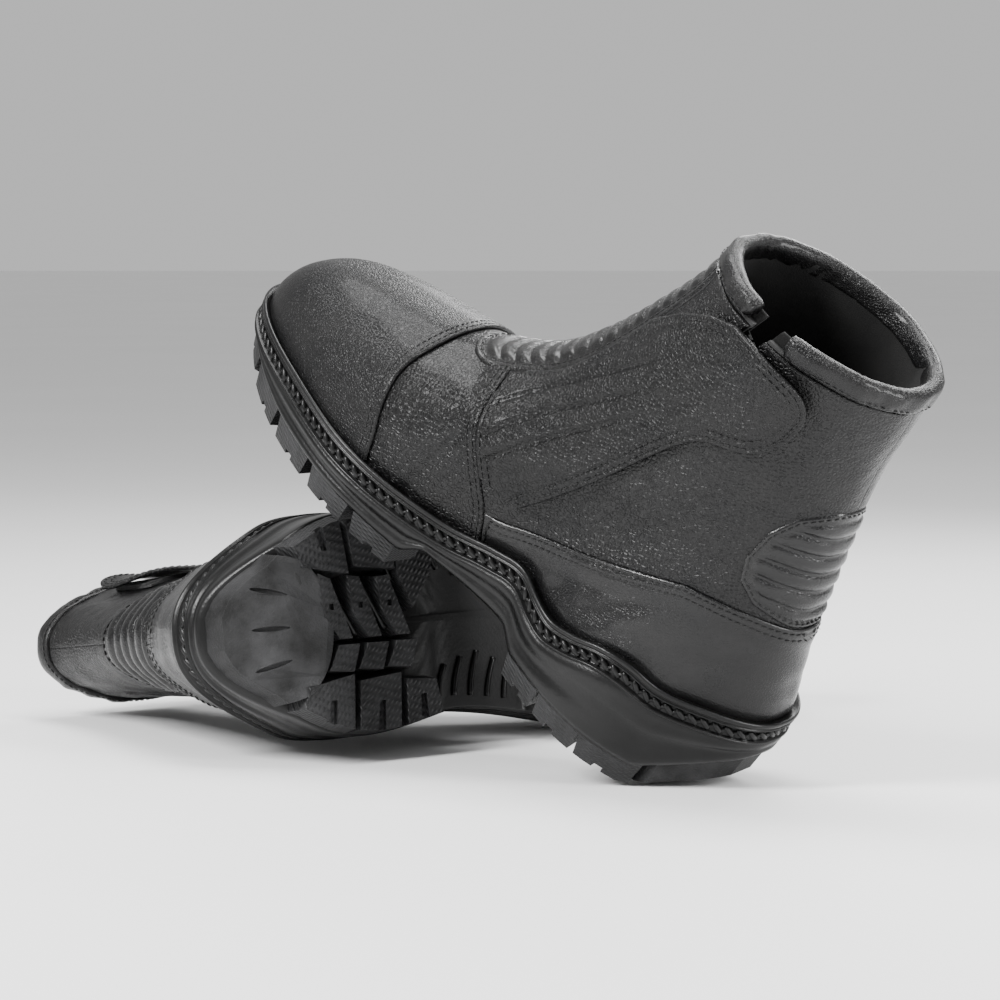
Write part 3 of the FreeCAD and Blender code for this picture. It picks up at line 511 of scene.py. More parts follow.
class Plan:
    """The sole's outline from above, at any distance."""

    def __init__(self, form, count=480):
        angle = np.linspace(0, 2 * math.pi, count, endpoint=False)
        ring = form.ring(angle, np.ones(count))
        run = run_along(np.vstack([ring, ring[:1]])[:, :2])
        even = np.interp(np.linspace(0, run[-1], count, endpoint=False), run, np.append(angle, 2 * math.pi))
        self.ring = form.ring(even, np.ones(count))[:, :2]
        ahead = unit(np.roll(self.ring, -1, 0) - np.roll(self.ring, 1, 0))
        self.out = np.stack([-ahead[:, 1], ahead[:, 0]], -1)
        self.out *= np.sign(np.sum(self.out * (self.ring - (150.0, 0.0)), 1)[:1])

    def at(self, distance):
        return self.ring + self.out * np.broadcast_to(distance, len(self.ring))[:, None]

    def edge(self, x, side, distance):
        """Where the outline at a distance crosses x, on one side."""
        line = self.at(distance)
        some = (line[:, 1] + swing(line[:, 0])) * side > 0
        order = np.argsort(line[some, 0])
        return np.interp(x, line[some, 0][order], line[some, 1][order])


# The wall's section from the upper down: distance out from the outline, height from the rim's top.
WALL = ((-1.6, -1.8), (2.6, -0.9), (3.4, -0.2), (4.1, 0.0), (4.7, -0.5), (4.9, -1.3), (4.6, -2.1),
        (3.9, -2.5), (3.7, -2.9), (4.3, -3.2), (4.7, -3.6), (4.3, -4.0), (2.9, -4.3), (2.7, -4.8),
        (2.7, -9.0), (2.9, -9.5), (4.4, -9.8), (4.9, -10.2), (4.6, -10.6), (3.7, -10.9), (3.5, -11.4),
        (4.2, -11.9))


def sole_body(plan):
    """Rim, wall and the faces between the lugs, as one closed skin."""
    rows = []
    count = len(plan.ring)
    for distance, drop in WALL:
        xy = plan.at(distance)
        rows.append(np.column_stack([xy, rim_top(xy[:, 0]) + drop]))
    low = plan.at(4.0)
    start = rows[-1][:, 2]
    end = sole_floor(low[:, 0])
    for share, distance in ((0.3, 4.3), (0.34, 3.6), (0.62, 3.5), (0.66, 4.0), (0.9, 3.8), (1.0, 3.2)):
        xy = plan.at(distance)
        rows.append(np.column_stack([xy, start + (np.minimum(end, start - 0.3) - start) * share]))
    for share in (0.985, 0.93, 0.8, 0.6, 0.4, 0.2, 0.04):
        xy = plan.at(3.2)
        middle = -swing(xy[:, 0])
        y = middle + (xy[:, 1] - middle) * share
        x = 151 + (xy[:, 0] - 151) * (0.5 + 0.5 * share if share < 0.9 else share * 0.3 + 0.7)
        rows.append(np.column_stack([x, y, sole_floor(x) + 0.001]))
    inner = []
    for share in (1.0, 0.9, 0.5, 0.05):
        xy = plan.at(-2.6)
        middle = -swing(xy[:, 0])
        y = middle + (xy[:, 1] - middle) * share
        x = 151 + (xy[:, 0] - 151) * (0.9 + 0.1 * share)
        floor = np.interp(x, *zip(FEATHER_BACK, FEATHER_FRONT)) - SEAT_DROP
        inner.append(np.column_stack([x, y, floor]))
    rows = inner[::-1] + rows
    points = np.vstack(rows)
    faces = ring_faces(len(rows), count)
    faces.append(tuple(range(count)))
    last = (len(rows) - 1) * count
    faces.append(tuple(range(last, last + count))[::-1])
    return points, faces


def rope(plan):
    """The moulded rope band in the rim's recess."""
    line = plan.at(3.1)
    closed = np.vstack([line, line[:1]])
    closed = np.column_stack([closed, rim_top(closed[:, 0]) - 6.9])
    places, ahead = resampled(closed, 5.2)
    normal = np.column_stack([ahead[:, 1], -ahead[:, 0], np.zeros(len(ahead))])
    normal *= np.sign(np.sum(normal * (places - (150, 0, 0)), 1))[:, None]
    up = np.cross(normal, ahead)
    up *= np.sign(up[:, 2:])
    slant = unit(ahead * 0.72 + up * 0.55)
    first = beads(places, slant, normal, 6.4, 2.7, 3.0, 8, 5)
    cross = unit(ahead * 0.8 - up * 0.5)
    second = beads(places + ahead * 2.6 - normal * 0.35, cross, normal, 4.6, 1.7, 2.4, 8, 4)
    return merged([first, second])


def block(outline, flank, foot=None, fine=7.0):
    """A moulded block from a plan outline: walking face down, flanks leaning out to its foot."""
    outline = np.array(outline, float)
    corners = []
    for a, b in zip(outline, np.roll(outline, -1, 0)):
        steps = max(1, int(np.linalg.norm(b - a) / fine))
        corners += [a + (b - a) * k / steps for k in range(steps)]
    corners = np.array(corners)
    area = np.sum(corners[:, 0] * np.roll(corners[:, 1], -1) - np.roll(corners[:, 0], -1) * corners[:, 1])
    if area < 0:
        corners = corners[::-1]
    before = corners - np.roll(corners, 1, 0)
    after = np.roll(corners, -1, 0) - corners
    normals = []
    for edge in (unit(before), unit(after)):
        normals.append(np.stack([edge[:, 1], -edge[:, 0]], -1))
    out = normals[0] + normals[1]
    out /= np.maximum(np.sum(out * normals[0], 1), 0.6)[:, None]
    wide = corners + out * flank
    face_z = tread(corners[:, 0])
    foot_z = sole_floor(wide[:, 0]) + 1.2 if foot is None else foot(wide)
    return capped(np.column_stack([corners, face_z]),
                  np.column_stack([wide, np.maximum(foot_z, face_z + 0.8)]))


def side_lug(plan, side, start, end, inner_start, inner_end, skew=0.0):
    """A lug at the edge: its outer face follows the wall."""
    places = np.linspace(start, end, 6)
    outer = [(x, plan.edge(x, side, 1.6)) for x in places]
    return outer + [(end + skew, side * inner_end), (start + skew, side * inner_start)]


def slit(centre, direction, length, width, deep):
    """A lens shaped cutter standing through the walking face."""
    direction = np.array(direction, float) / np.linalg.norm(direction)
    across = np.array((-direction[1], direction[0]))
    outline = []
    for k in range(12):
        t = 2 * math.pi * k / 12
        outline.append(centre + direction * length / 2 * math.cos(t) + across * width / 2 * math.sin(t))
    return prism(outline, deep)


def prism(outline, deep):
    """A cutter from below the tread to a depth into it, following the walking face."""
    outline = np.array(outline, float)
    face = tread(outline[:, 0])
    return capped(np.column_stack([outline, face + CUTTER_START]), np.column_stack([outline, face + deep]))


def nick(x_start, x_end, y_start, y_end):
    """The cutter of a small square hole in a block's walking face."""
    return prism([(x_start, y_start), (x_end, y_start), (x_end, y_end), (x_start, y_end)], NICK_DEPTH)


def lug_groove(plan, side, x, inner, lean=0.0):
    """The tapered cut in a side lug's walking face, open to the wall."""
    edge = plan.edge(x, side, 1.6)
    reach = inner + (abs(edge) - inner) * 0.42
    return prism([(x - 2.6, edge + side * 4), (x + 2.6, edge + side * 4), (x + 1.5 + lean, side * reach),
                  (x - 1.5 + lean, side * reach)], GROOVE_DEPTH)


# Side lugs: start and end along the boot, then how far in they reach at each.
HEEL_SIDE = ((28, 51, 25, 21), (54, 75, 24, 22))
FORE_SIDE = ((168, 188, 30, 30), (195, 217, 30, 30), (224, 247, 29, 28), (253, 274, 26, 23))


def heel_lugs(plan):
    """The heel's blocks, the heel plate first, with its cutters and bars."""
    blocks, cuts, bars = [], [], []
    moon = [(x, plan.edge(x, 1, 0.6)) for x in np.linspace(19, 3, 7)]
    moon += [(x, plan.edge(x, -1, 0.6)) for x in np.linspace(3, 19, 7)]
    moon += [(20 + 24 * math.cos(t * math.pi / 2), 31 * math.sin(t * math.pi / 2))
             for t in np.linspace(-0.93, 0.93, 25)]
    blocks.append(block(moon, 1.2, lambda p: np.maximum(sole_floor(p[:, 0]), tread(p[:, 0]) + 4) + 1.5))
    for y, lean in ((16, -0.30), (0.5, 0.0), (-15, 0.30)):
        cuts.append(slit((19, y), (1, lean), 13.5, 2.0, GROOVE_DEPTH))
    for side, skew in ((1, 3.0), (-1, 2.0)):
        for start, end, inner_start, inner_end in HEEL_SIDE:
            blocks.append(block(side_lug(plan, side, start, end, inner_start, inner_end, skew), 1.7))
            cuts.append(lug_groove(plan, side, (start + end) / 2, inner_start, skew))
    wedge = [(x, plan.edge(x, 1, 1.6)) for x in np.linspace(79, 98, 6)] + [(97, 20), (86, 5), (79, 20)]
    blocks.append(block(wedge, 1.7))
    cuts.append(lug_groove(plan, 1, 88, 22))
    last = [(x, plan.edge(x, -1, 1.6)) for x in np.linspace(79, 98, 6)] + [(95, -26), (80, -25)]
    blocks.append(block(last, 1.7))
    cuts.append(lug_groove(plan, -1, 88, 24))
    for shift in (0, 15, 30):
        x = 35 + shift
        blocks.append(block([(x + 3, 22 - shift * .1), (x + 9, 19.5), (x + 18.5, -6), (x + 12, -6),
                             (x + 5, 4)], 1.0))
        cuts.append(nick(x + 7.6, x + 10, 9, 6.4))
    for shift in (0, 15, 30):
        x = 44 + shift
        blocks.append(block([(x + 2.5, -8.5), (x + 13, -8.5), (x + 9, -20), (x - 3.5, -19)], 1.3))
    for x, y, end_x, end_y in ((46.5, 15, 58, -5), (61.5, 18, 73, -3)):
        line = np.linspace((x, y), (end_x, end_y), 14)
        bars.append((np.column_stack([line, np.full(14, LUG_DEPTH - 3.6)]), 1.5))
    for x, y in ((24, 27), (47, 26), (70, 27)):
        line = np.linspace((x + 6, y - 3.5), (x + 8.5, y - 9.5), 8)
        bars.append((np.column_stack([line, np.full(8, LUG_DEPTH - 3.2)]), 1.3))
    return blocks, cuts, bars


def forefoot_lugs(plan):
    """The forefoot's blocks, with their cutters and bars."""
    blocks, cuts, bars = [], [], []
    for side in (1, -1):
        for start, end, inner_start, inner_end in FORE_SIDE:
            blocks.append(block(side_lug(plan, side, start, end, inner_start, inner_end, -2.5), 1.8))
            cuts.append(lug_groove(plan, side, (start + end) / 2, inner_start, -2.0))
    for shift in (0, 22, 44, 66):
        x = 172 + shift
        for side in (1, -1):
            blocks.append(block([(x, side * 2.0), (x + 9.5, side * 2.0), (x + 17.5, side * 23),
                                 (x + 8, side * 23.5)], 1.2))
            cuts.append(nick(x + 8.5, x + 11, side * 13, side * 10.4))
        line = np.array([(x + 22, -20.5), (x + 18, -10), (x + 14.5, -1), (x + 14.5, 1), (x + 18, 10),
                         (x + 22, 20.5)])
        fine = np.stack([np.interp(np.linspace(0, 5, 26), range(6), column) for column in line.T], -1)
        if shift < 60:
            bars.append((np.column_stack([fine, sole_floor(fine[:, 0]) - 3.4]), 1.4))
    toe = [(x, plan.edge(x, 1, 0.8)) for x in np.linspace(281, 301, 8)]
    toe += [(x, plan.edge(x, -1, 0.8)) for x in np.linspace(301, 281, 8)]
    toe += [(273, -16), (268, -6), (268, 4), (273, 13)]
    blocks.append(block(toe, 1.2))
    for y, lean in ((14, 0.3), (-7, 0.0), (-27, -0.3)):
        cuts.append(slit((289, y), (1, lean), 11.0, 2.2, 1.8))
    return blocks, cuts, bars


def waist_bars(plan):
    """The curved bars under the waist."""
    bars = []
    for side in (1, -1):
        for k in range(5):
            x = 108 + k * 9.0
            outer = abs(plan.edge(x + 4, side, 0.0)) - 2
            ys = np.linspace(outer, outer - 19 + abs(k - 2) * 2.5, 12)
            xs = x + 5.0 * np.linspace(0, 1, 12) ** 1.6 * (1 if k < 4 else 0.6)
            bars.append((np.column_stack([xs, side * ys, sole_floor(xs) - 0.3]), 1.25))
    return bars


# ---------------------------------------------------------------------------------------------
# Finishes.

def new_material(name):
    material = bpy.data.materials.new(name)
    material.use_nodes = True
    tree = material.node_tree
    shader = tree.nodes["Principled BSDF"]
    return material, tree, shader


def own_space(tree):
    """The object's own coordinates, from one node."""
    coords = tree.nodes.get("coords") or tree.nodes.new("ShaderNodeTexCoord")
    coords.name = "coords"
    return coords.outputs["Object"]


def noise(tree, scale, detail=4.0, rough=0.55):
    """Noise in the object's own space; scale is per metre."""
    texture = tree.nodes.new("ShaderNodeTexNoise")
    texture.inputs["Scale"].default_value = scale
    texture.inputs["Detail"].default_value = detail
    texture.inputs["Roughness"].default_value = rough
    tree.links.new(own_space(tree), texture.inputs["Vector"])
    return texture.outputs["Fac"]


def cells(tree, scale, feature, warp=0.0):
    """Voronoi cells in the object's own space, bent a little."""
    texture = tree.nodes.new("ShaderNodeTexVoronoi")
    texture.feature = feature
    texture.inputs["Scale"].default_value = scale
    source = own_space(tree)
    if warp:
        bend = tree.nodes.new("ShaderNodeTexNoise")
        bend.inputs["Scale"].default_value = scale * 0.45
        bend.inputs["Detail"].default_value = 2.0
        tree.links.new(source, bend.inputs["Vector"])
        mix = tree.nodes.new("ShaderNodeVectorMath")
        mix.operation = "MULTIPLY_ADD"
        mix.inputs[1].default_value = (warp, warp, warp)
        tree.links.new(bend.outputs["Color"], mix.inputs[0])
        tree.links.new(source, mix.inputs[2])
        source = mix.outputs[0]
    tree.links.new(source, texture.inputs["Vector"])
    return texture.outputs["Distance"]


def ramp(tree, value, low, high, start=0.0, end=1.0):
    """Value carried from one range to another, held at its ends."""
    step = tree.nodes.new("ShaderNodeMapRange")
    step.inputs["From Min"].default_value = start
    step.inputs["From Max"].default_value = end
    step.inputs["To Min"].default_value = low
    step.inputs["To Max"].default_value = high
    tree.links.new(value, step.inputs["Value"])
    return step.outputs["Result"]


def maths(tree, kind, first, second):
    step = tree.nodes.new("ShaderNodeMath")
    step.operation = kind
    for k, item in enumerate((first, second)):
        if isinstance(item, (int, float)):
            step.inputs[k].default_value = item
        else:
            tree.links.new(item, step.inputs[k])
    return step.outputs[0]


def tint(tree, shader, value, dark, light):
    """Base colour between two colours."""
    mix = tree.nodes.new("ShaderNodeMix")
    mix.data_type = "RGBA"
    mix.inputs["A"].default_value = (*dark, 1)
    mix.inputs["B"].default_value = (*light, 1)
    tree.links.new(value, mix.inputs["Factor"])
    tree.links.new(mix.outputs["Result"], shader.inputs["Base Color"])


def bump(tree, shader, height, strength, distance):
    step = tree.nodes.new("ShaderNodeBump")
    step.inputs["Strength"].default_value = strength
    step.inputs["Distance"].default_value = distance
    tree.links.new(height, step.inputs["Height"])
    tree.links.new(step.outputs["Normal"], shader.inputs["Normal"])


LEATHER_DARK, LEATHER_LIGHT = (0.0025, 0.0025, 0.0028), (0.006, 0.0058, 0.0058)


def leather(name, cell, depth, rough, coat):
    """Black grained leather. cell is the grain's size in metres."""
    material, tree, shader = new_material(name)
    edge = cells(tree, 1.0 / cell, "DISTANCE_TO_EDGE", cell * 0.9)
    pebble = ramp(tree, edge, 0.0, 1.0, 0.0, 0.30)
    fine = noise(tree, 2.6 / cell, 5.0, 0.6)
    patchy = noise(tree, 38.0, 4.0, 0.55)
    creases = noise(tree, 210.0, 6.0, 0.62)
    height = maths(tree, "ADD", maths(tree, "MULTIPLY", pebble, 0.75), maths(tree, "MULTIPLY", fine, 0.35))
    height = maths(tree, "ADD", height, maths(tree, "MULTIPLY", creases, 0.6))
    bump(tree, shader, height, 1.0, depth)
    tint(tree, shader, ramp(tree, patchy, 0.0, 1.0, 0.3, 0.7), LEATHER_DARK, LEATHER_LIGHT)
    wear = maths(tree, "ADD", maths(tree, "MULTIPLY", patchy, 0.22), maths(tree, "MULTIPLY", fine, 0.08))
    tree.links.new(maths(tree, "ADD", wear, rough - 0.14), shader.inputs["Roughness"])
    shader.inputs["Specular IOR Level"].default_value = 0.2
    shader.inputs["Coat Weight"].default_value = coat
    shader.inputs["Coat Roughness"].default_value = 0.14
    return material


def rubber(name, rough, stipple, depth, light):
    """Black moulded rubber. stipple is the size of the moulded grain in metres."""
    material, tree, shader = new_material(name)
    fine = noise(tree, 1.0 / stipple, 3.0, 0.5)
    patchy = noise(tree, 55.0, 5.0, 0.6)
    bump(tree, shader, maths(tree, "ADD", fine, maths(tree, "MULTIPLY", patchy, 0.7)), 1.0, depth)
    tint(tree, shader, ramp(tree, patchy, 0.0, 1.0, 0.35, 0.7), (0.003, 0.003, 0.003), light)
    tree.links.new(ramp(tree, patchy, rough - 0.08, rough + 0.12), shader.inputs["Roughness"])
    shader.inputs["Specular IOR Level"].default_value = 0.24
    return material


def knurled(name):
    """The walking blocks: rubber with a fine diamond pattern and dust in it."""
    material, tree, shader = new_material(name)
    height = None
    for turn in (0.6, -0.9):
        place = tree.nodes.new("ShaderNodeMapping")
        place.inputs["Rotation"].default_value = (0.3, turn, turn * 1.3)
        tree.links.new(own_space(tree), place.inputs["Vector"])
        wave = tree.nodes.new("ShaderNodeTexWave")
        wave.inputs["Scale"].default_value = 190.0
        wave.inputs["Distortion"].default_value = 0.4
        tree.links.new(place.outputs["Vector"], wave.inputs["Vector"])
        ridge = wave.outputs["Fac"]
        height = ridge if height is None else maths(tree, "MULTIPLY", height, ridge)
    dust = noise(tree, 70.0, 6.0, 0.65)
    fine = noise(tree, 1500.0, 3.0, 0.5)
    bump(tree, shader, maths(tree, "ADD", height, maths(tree, "MULTIPLY", fine, 0.5)), 1.0, 0.00028)
    tint(tree, shader, ramp(tree, dust, 0.0, 1.0, 0.4, 0.75), (0.006, 0.006, 0.0063), (0.02, 0.02, 0.021))
    tree.links.new(ramp(tree, dust, 0.42, 0.62), shader.inputs["Roughness"])
    shader.inputs["Specular IOR Level"].default_value = 0.3
    return material


def woven(name, dark, light, scale, rough=0.9, sheen=0.06, metal=0.0, depth=0.0003):
    """Cloth, fibre board or metal, by its numbers."""
    material, tree, shader = new_material(name)
    fine = noise(tree, scale, 4.0, 0.6)
    patchy = noise(tree, 45.0, 4.0, 0.6)
    bump(tree, shader, fine, 0.8, depth)
    tint(tree, shader, ramp(tree, patchy, 0.0, 1.0, 0.3, 0.7), dark, light)
    tree.links.new(ramp(tree, fine, rough - 0.1, min(1.0, rough + 0.08)), shader.inputs["Roughness"])
    shader.inputs["Sheen Weight"].default_value = sheen
    shader.inputs["Specular IOR Level"].default_value = 0.25
    shader.inputs["Metallic"].default_value = metal
    return material


FINISH = {
    "grain_leather": leather("pebbled_leather", 0.0017, 0.00036, 0.33, 0.12),
    "smooth_leather": leather("glossy_leather", 0.0011, 0.00014, 0.28, 0.25),
    "padded_leather": leather("padded_leather", 0.0012, 0.00013, 0.25, 0.30),
    "toe_leather": leather("fine_leather", 0.00125, 0.00022, 0.36, 0.08),
    "binding_leather": leather("binding_leather", 0.0010, 0.00016, 0.33, 0.15),
    "flap_leather": leather("flap_leather", 0.0016, 0.00032, 0.37, 0.08),
    "sole_rubber": rubber("wall_rubber", 0.30, 0.0012, 0.00010, (0.006, 0.006, 0.006)),
    "tread_rubber": knurled("tread_rubber"),
    "plate_rubber": rubber("plate_rubber", 0.56, 0.0009, 0.00035, (0.028, 0.028, 0.029)),
    "thread": woven("thread", (0.003, 0.003, 0.003), (0.009, 0.009, 0.009), 2600.0, 0.6),
    "lining_suede": woven("lining_suede", (0.003, 0.003, 0.003), (0.008, 0.0078, 0.0075), 1800.0, 0.95,
                          0.02),
    "foam": woven("foam", (0.03, 0.03, 0.03), (0.06, 0.06, 0.06), 900.0),
    "steel": woven("steel", (0.35, 0.35, 0.36), (0.5, 0.5, 0.5), 700.0, 0.35, 0.0, 1.0, 0.00005),
    "counter_board": woven("counter_board", (0.08, 0.06, 0.04), (0.13, 0.1, 0.07), 600.0),
    "fibre_board": woven("fibre_board", (0.12, 0.09, 0.06), (0.2, 0.16, 0.11), 700.0),
    "footbed_fabric": woven("footbed_fabric", (0.008, 0.008, 0.009), (0.022, 0.022, 0.023), 1500.0),
    "touch_fastener": woven("touch_fastener", (0.006, 0.006, 0.006), (0.02, 0.02, 0.02), 1300.0, 0.85,
                            0.1, 0.0, 0.0008),
    "zip_tape": woven("zip_tape", (0.006, 0.006, 0.006), (0.014, 0.014, 0.014), 1900.0, 0.8),
    "zip_metal": woven("zip_metal", (0.10, 0.10, 0.10), (0.2, 0.2, 0.2), 500.0, 0.38, 0.0, 1.0, 0.00004),
}


# ---------------------------------------------------------------------------------------------
# Where each boot lies.

def turn_of(boot):
    """The rotation from a boot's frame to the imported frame."""
    if boot == "right":
        a = math.radians(LIE_HEADING)
        forward = np.array((math.cos(a), math.sin(a), 0))
        up = np.array((-math.sin(a), math.cos(a), 0))
        roll = -math.radians(LIE_TILT)
    else:
        a, p = math.radians(LEAN_HEADING), math.radians(HEEL_BEVEL)
        forward = np.array((-math.cos(a) * math.cos(p), math.sin(a) * math.cos(p), math.sin(p)))
        up = np.array((math.cos(a) * math.sin(p), -math.sin(a) * math.sin(p), math.cos(p)))
        roll = -math.radians(LEAN_ROLL)
    across = np.cross(up, forward)
    base = np.column_stack([forward, across, up])
    c, s = math.cos(roll), math.sin(roll)
    return base @ np.array([[1, 0, 0], [0, c, -s], [0, s, c]])


def place_of(boot):
    """Rotation and shift of a boot; the shift comes from the shank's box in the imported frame."""
    turn = turn_of(boot)
    low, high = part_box(boot + "_steel_shank")
    centre = (np.array(low) + np.array(high)) / 2 / MM
    run, fall = FEATHER_FRONT[0] - FEATHER_BACK[0], FEATHER_BACK[1] - FEATHER_FRONT[1]
    forward = np.array((run, 0.0, -fall)) / math.hypot(run, fall)
    up = np.array((-forward[2], 0.0, forward[0]))
    local = (np.array((FEATHER_BACK[0], 0.0, FEATHER_BACK[1]))
             + forward * (SHANK_START + SHANK_LENGTH / 2) - up * SHANK_THICK / 2)
    return turn, centre - turn @ local


def add(boot, name, points, faces, finish, body, replaced=(), smooth_faces=True):
    """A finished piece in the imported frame, riding on its body if one is given."""
    turn, shift = PLACE[boot]
    points = np.array(points, float)
    points[:, 1] *= SIDE[boot]
    world = (points @ turn.T + shift) * MM
    mesh = bpy.data.meshes.new(boot + "_" + name)
    mesh.from_pydata(world.tolist(), [], [tuple(f) for f in faces])
    mesh.validate()
    piece = bpy.data.objects.new(boot + "_" + name, mesh)
    bpy.context.scene.collection.objects.link(piece)
    work = bmesh.new()
    work.from_mesh(mesh)
    bmesh.ops.remove_doubles(work, verts=work.verts, dist=2e-6)
    bmesh.ops.recalc_face_normals(work, faces=work.faces)
    work.to_mesh(mesh)
    work.free()
    mesh.polygons.foreach_set("use_smooth", [smooth_faces] * len(mesh.polygons))
    mesh.materials.append(FINISH[finish])
    if body:
        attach(piece, body)
    if replaced:
        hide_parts(*replaced)
    return piece


PLACE = {boot: place_of(boot) for boot in ("right", "left")}


# ---------------------------------------------------------------------------------------------
# The upper of one boot.

def side_field(outline):
    """Signed distance to a side view outline."""
    shape = rounded(outline)
    return lambda point: inside(point[:, 0], point[:, 2], shape)


def strip_field(form, point):
    """Signed distance to the instep strip seen from above, outside negative."""
    half = PAD_HALF_WIDTH * math.sqrt(form.collar / (COLLAR_WIDTH["left"] / 2.0))
    x, y, z = point[:, 0], point[:, 1], point[:, 2]
    straight = PAD_TIP - half
    middle = -swing(np.full_like(x, PAD_TIP))
    centre = middle * np.clip((x - PAD_TURN) / (straight - PAD_TURN), 0, 1)
    sides = half - np.abs(y - centre)
    nose = half - np.hypot(x - straight, y - centre)
    value = np.where(x > straight, nose, sides)
    return np.minimum(np.minimum(value, x - PAD_BACK), z - PAD_LOW)


def zip_distance(form, point):
    """Distance in side view from the zip's line, positive away from it; far on the inner side."""
    top_x = COLLAR_BACK + SHAFT_DEPTH - ZIP_SET_BACK
    top_z = BOOT_HEIGHT - ZIP_DROP
    lean = math.radians(ZIP_LEAN)
    along = np.array((math.sin(lean), -math.cos(lean)))
    run = (point[:, 0] - top_x) * along[0] + (point[:, 2] - top_z) * along[1]
    off = np.abs((point[:, 0] - top_x) * along[1] - (point[:, 2] - top_z) * along[0])
    past = np.maximum(run - ZIP_LENGTH, 0)
    return np.where(point[:, 1] > 0, np.hypot(off, past), 99.0)


def cut_panel(form, field, angles, levels, edge):
    """A trimmed panel with points along its rounded edge, and its points and normals on the face."""
    panel = Panel(form, field, angles, levels)
    panel.trim()
    panel.cut(edge)
    return panel, *form.face(panel.uv[:, 0], panel.uv[:, 1])


def thread_groove(distance, rows=SEAM_ROWS, depth=0.22, width=0.9):
    """The shallow grooves that two rows of stitches pull into the leather."""
    return -depth * (bell(distance - rows[0], width) + bell(distance - rows[1], width))


def inflate(panel, pressure=4.0, held=0.9):
    """Cloth held at its edges and blown up a little, as padding does; returns its points.

    The sheet may blow to either side of the face; its movement is then taken outwards.
    """
    start, normal = panel.form.face(panel.uv[:, 0], panel.uv[:, 1])
    mesh = bpy.data.meshes.new("blown")
    mesh.from_pydata((start * MM).tolist(), [], [tuple(f) for f in panel.faces])
    blown = bpy.data.objects.new("blown", mesh)
    bpy.context.scene.collection.objects.link(blown)
    group = blown.vertex_groups.new(name="held")
    group.add([int(k) for k in np.nonzero(panel.value < held)[0]], 1.0, "REPLACE")
    cloth = blown.modifiers.new("cloth", "CLOTH")
    settings = cloth.settings
    settings.quality = 6
    settings.mass = 0.4
    settings.tension_stiffness = settings.compression_stiffness = 25
    settings.shear_stiffness = 15
    settings.bending_stiffness = 1.5
    settings.vertex_group_mass = "held"
    settings.use_pressure = True
    settings.uniform_pressure_force = pressure
    settings.effector_weights.gravity = 0
    cloth.point_cache.frame_start, cloth.point_cache.frame_end = 1, 20
    scene = bpy.context.scene
    for number in range(1, 21):
        scene.frame_set(number)
    graph = bpy.context.evaluated_depsgraph_get()
    done = blown.evaluated_get(graph).to_mesh()
    result = np.array([v.co for v in done.vertices]).reshape(-1, 3) / MM
    bpy.data.objects.remove(blown)
    scene.frame_set(1)
    moved = np.sum((result - start) * normal, 1)
    moved = np.clip(moved if moved.mean() > 0 else -moved, 0.0, MOST_SWELL)
    return start + normal * moved[:, None]


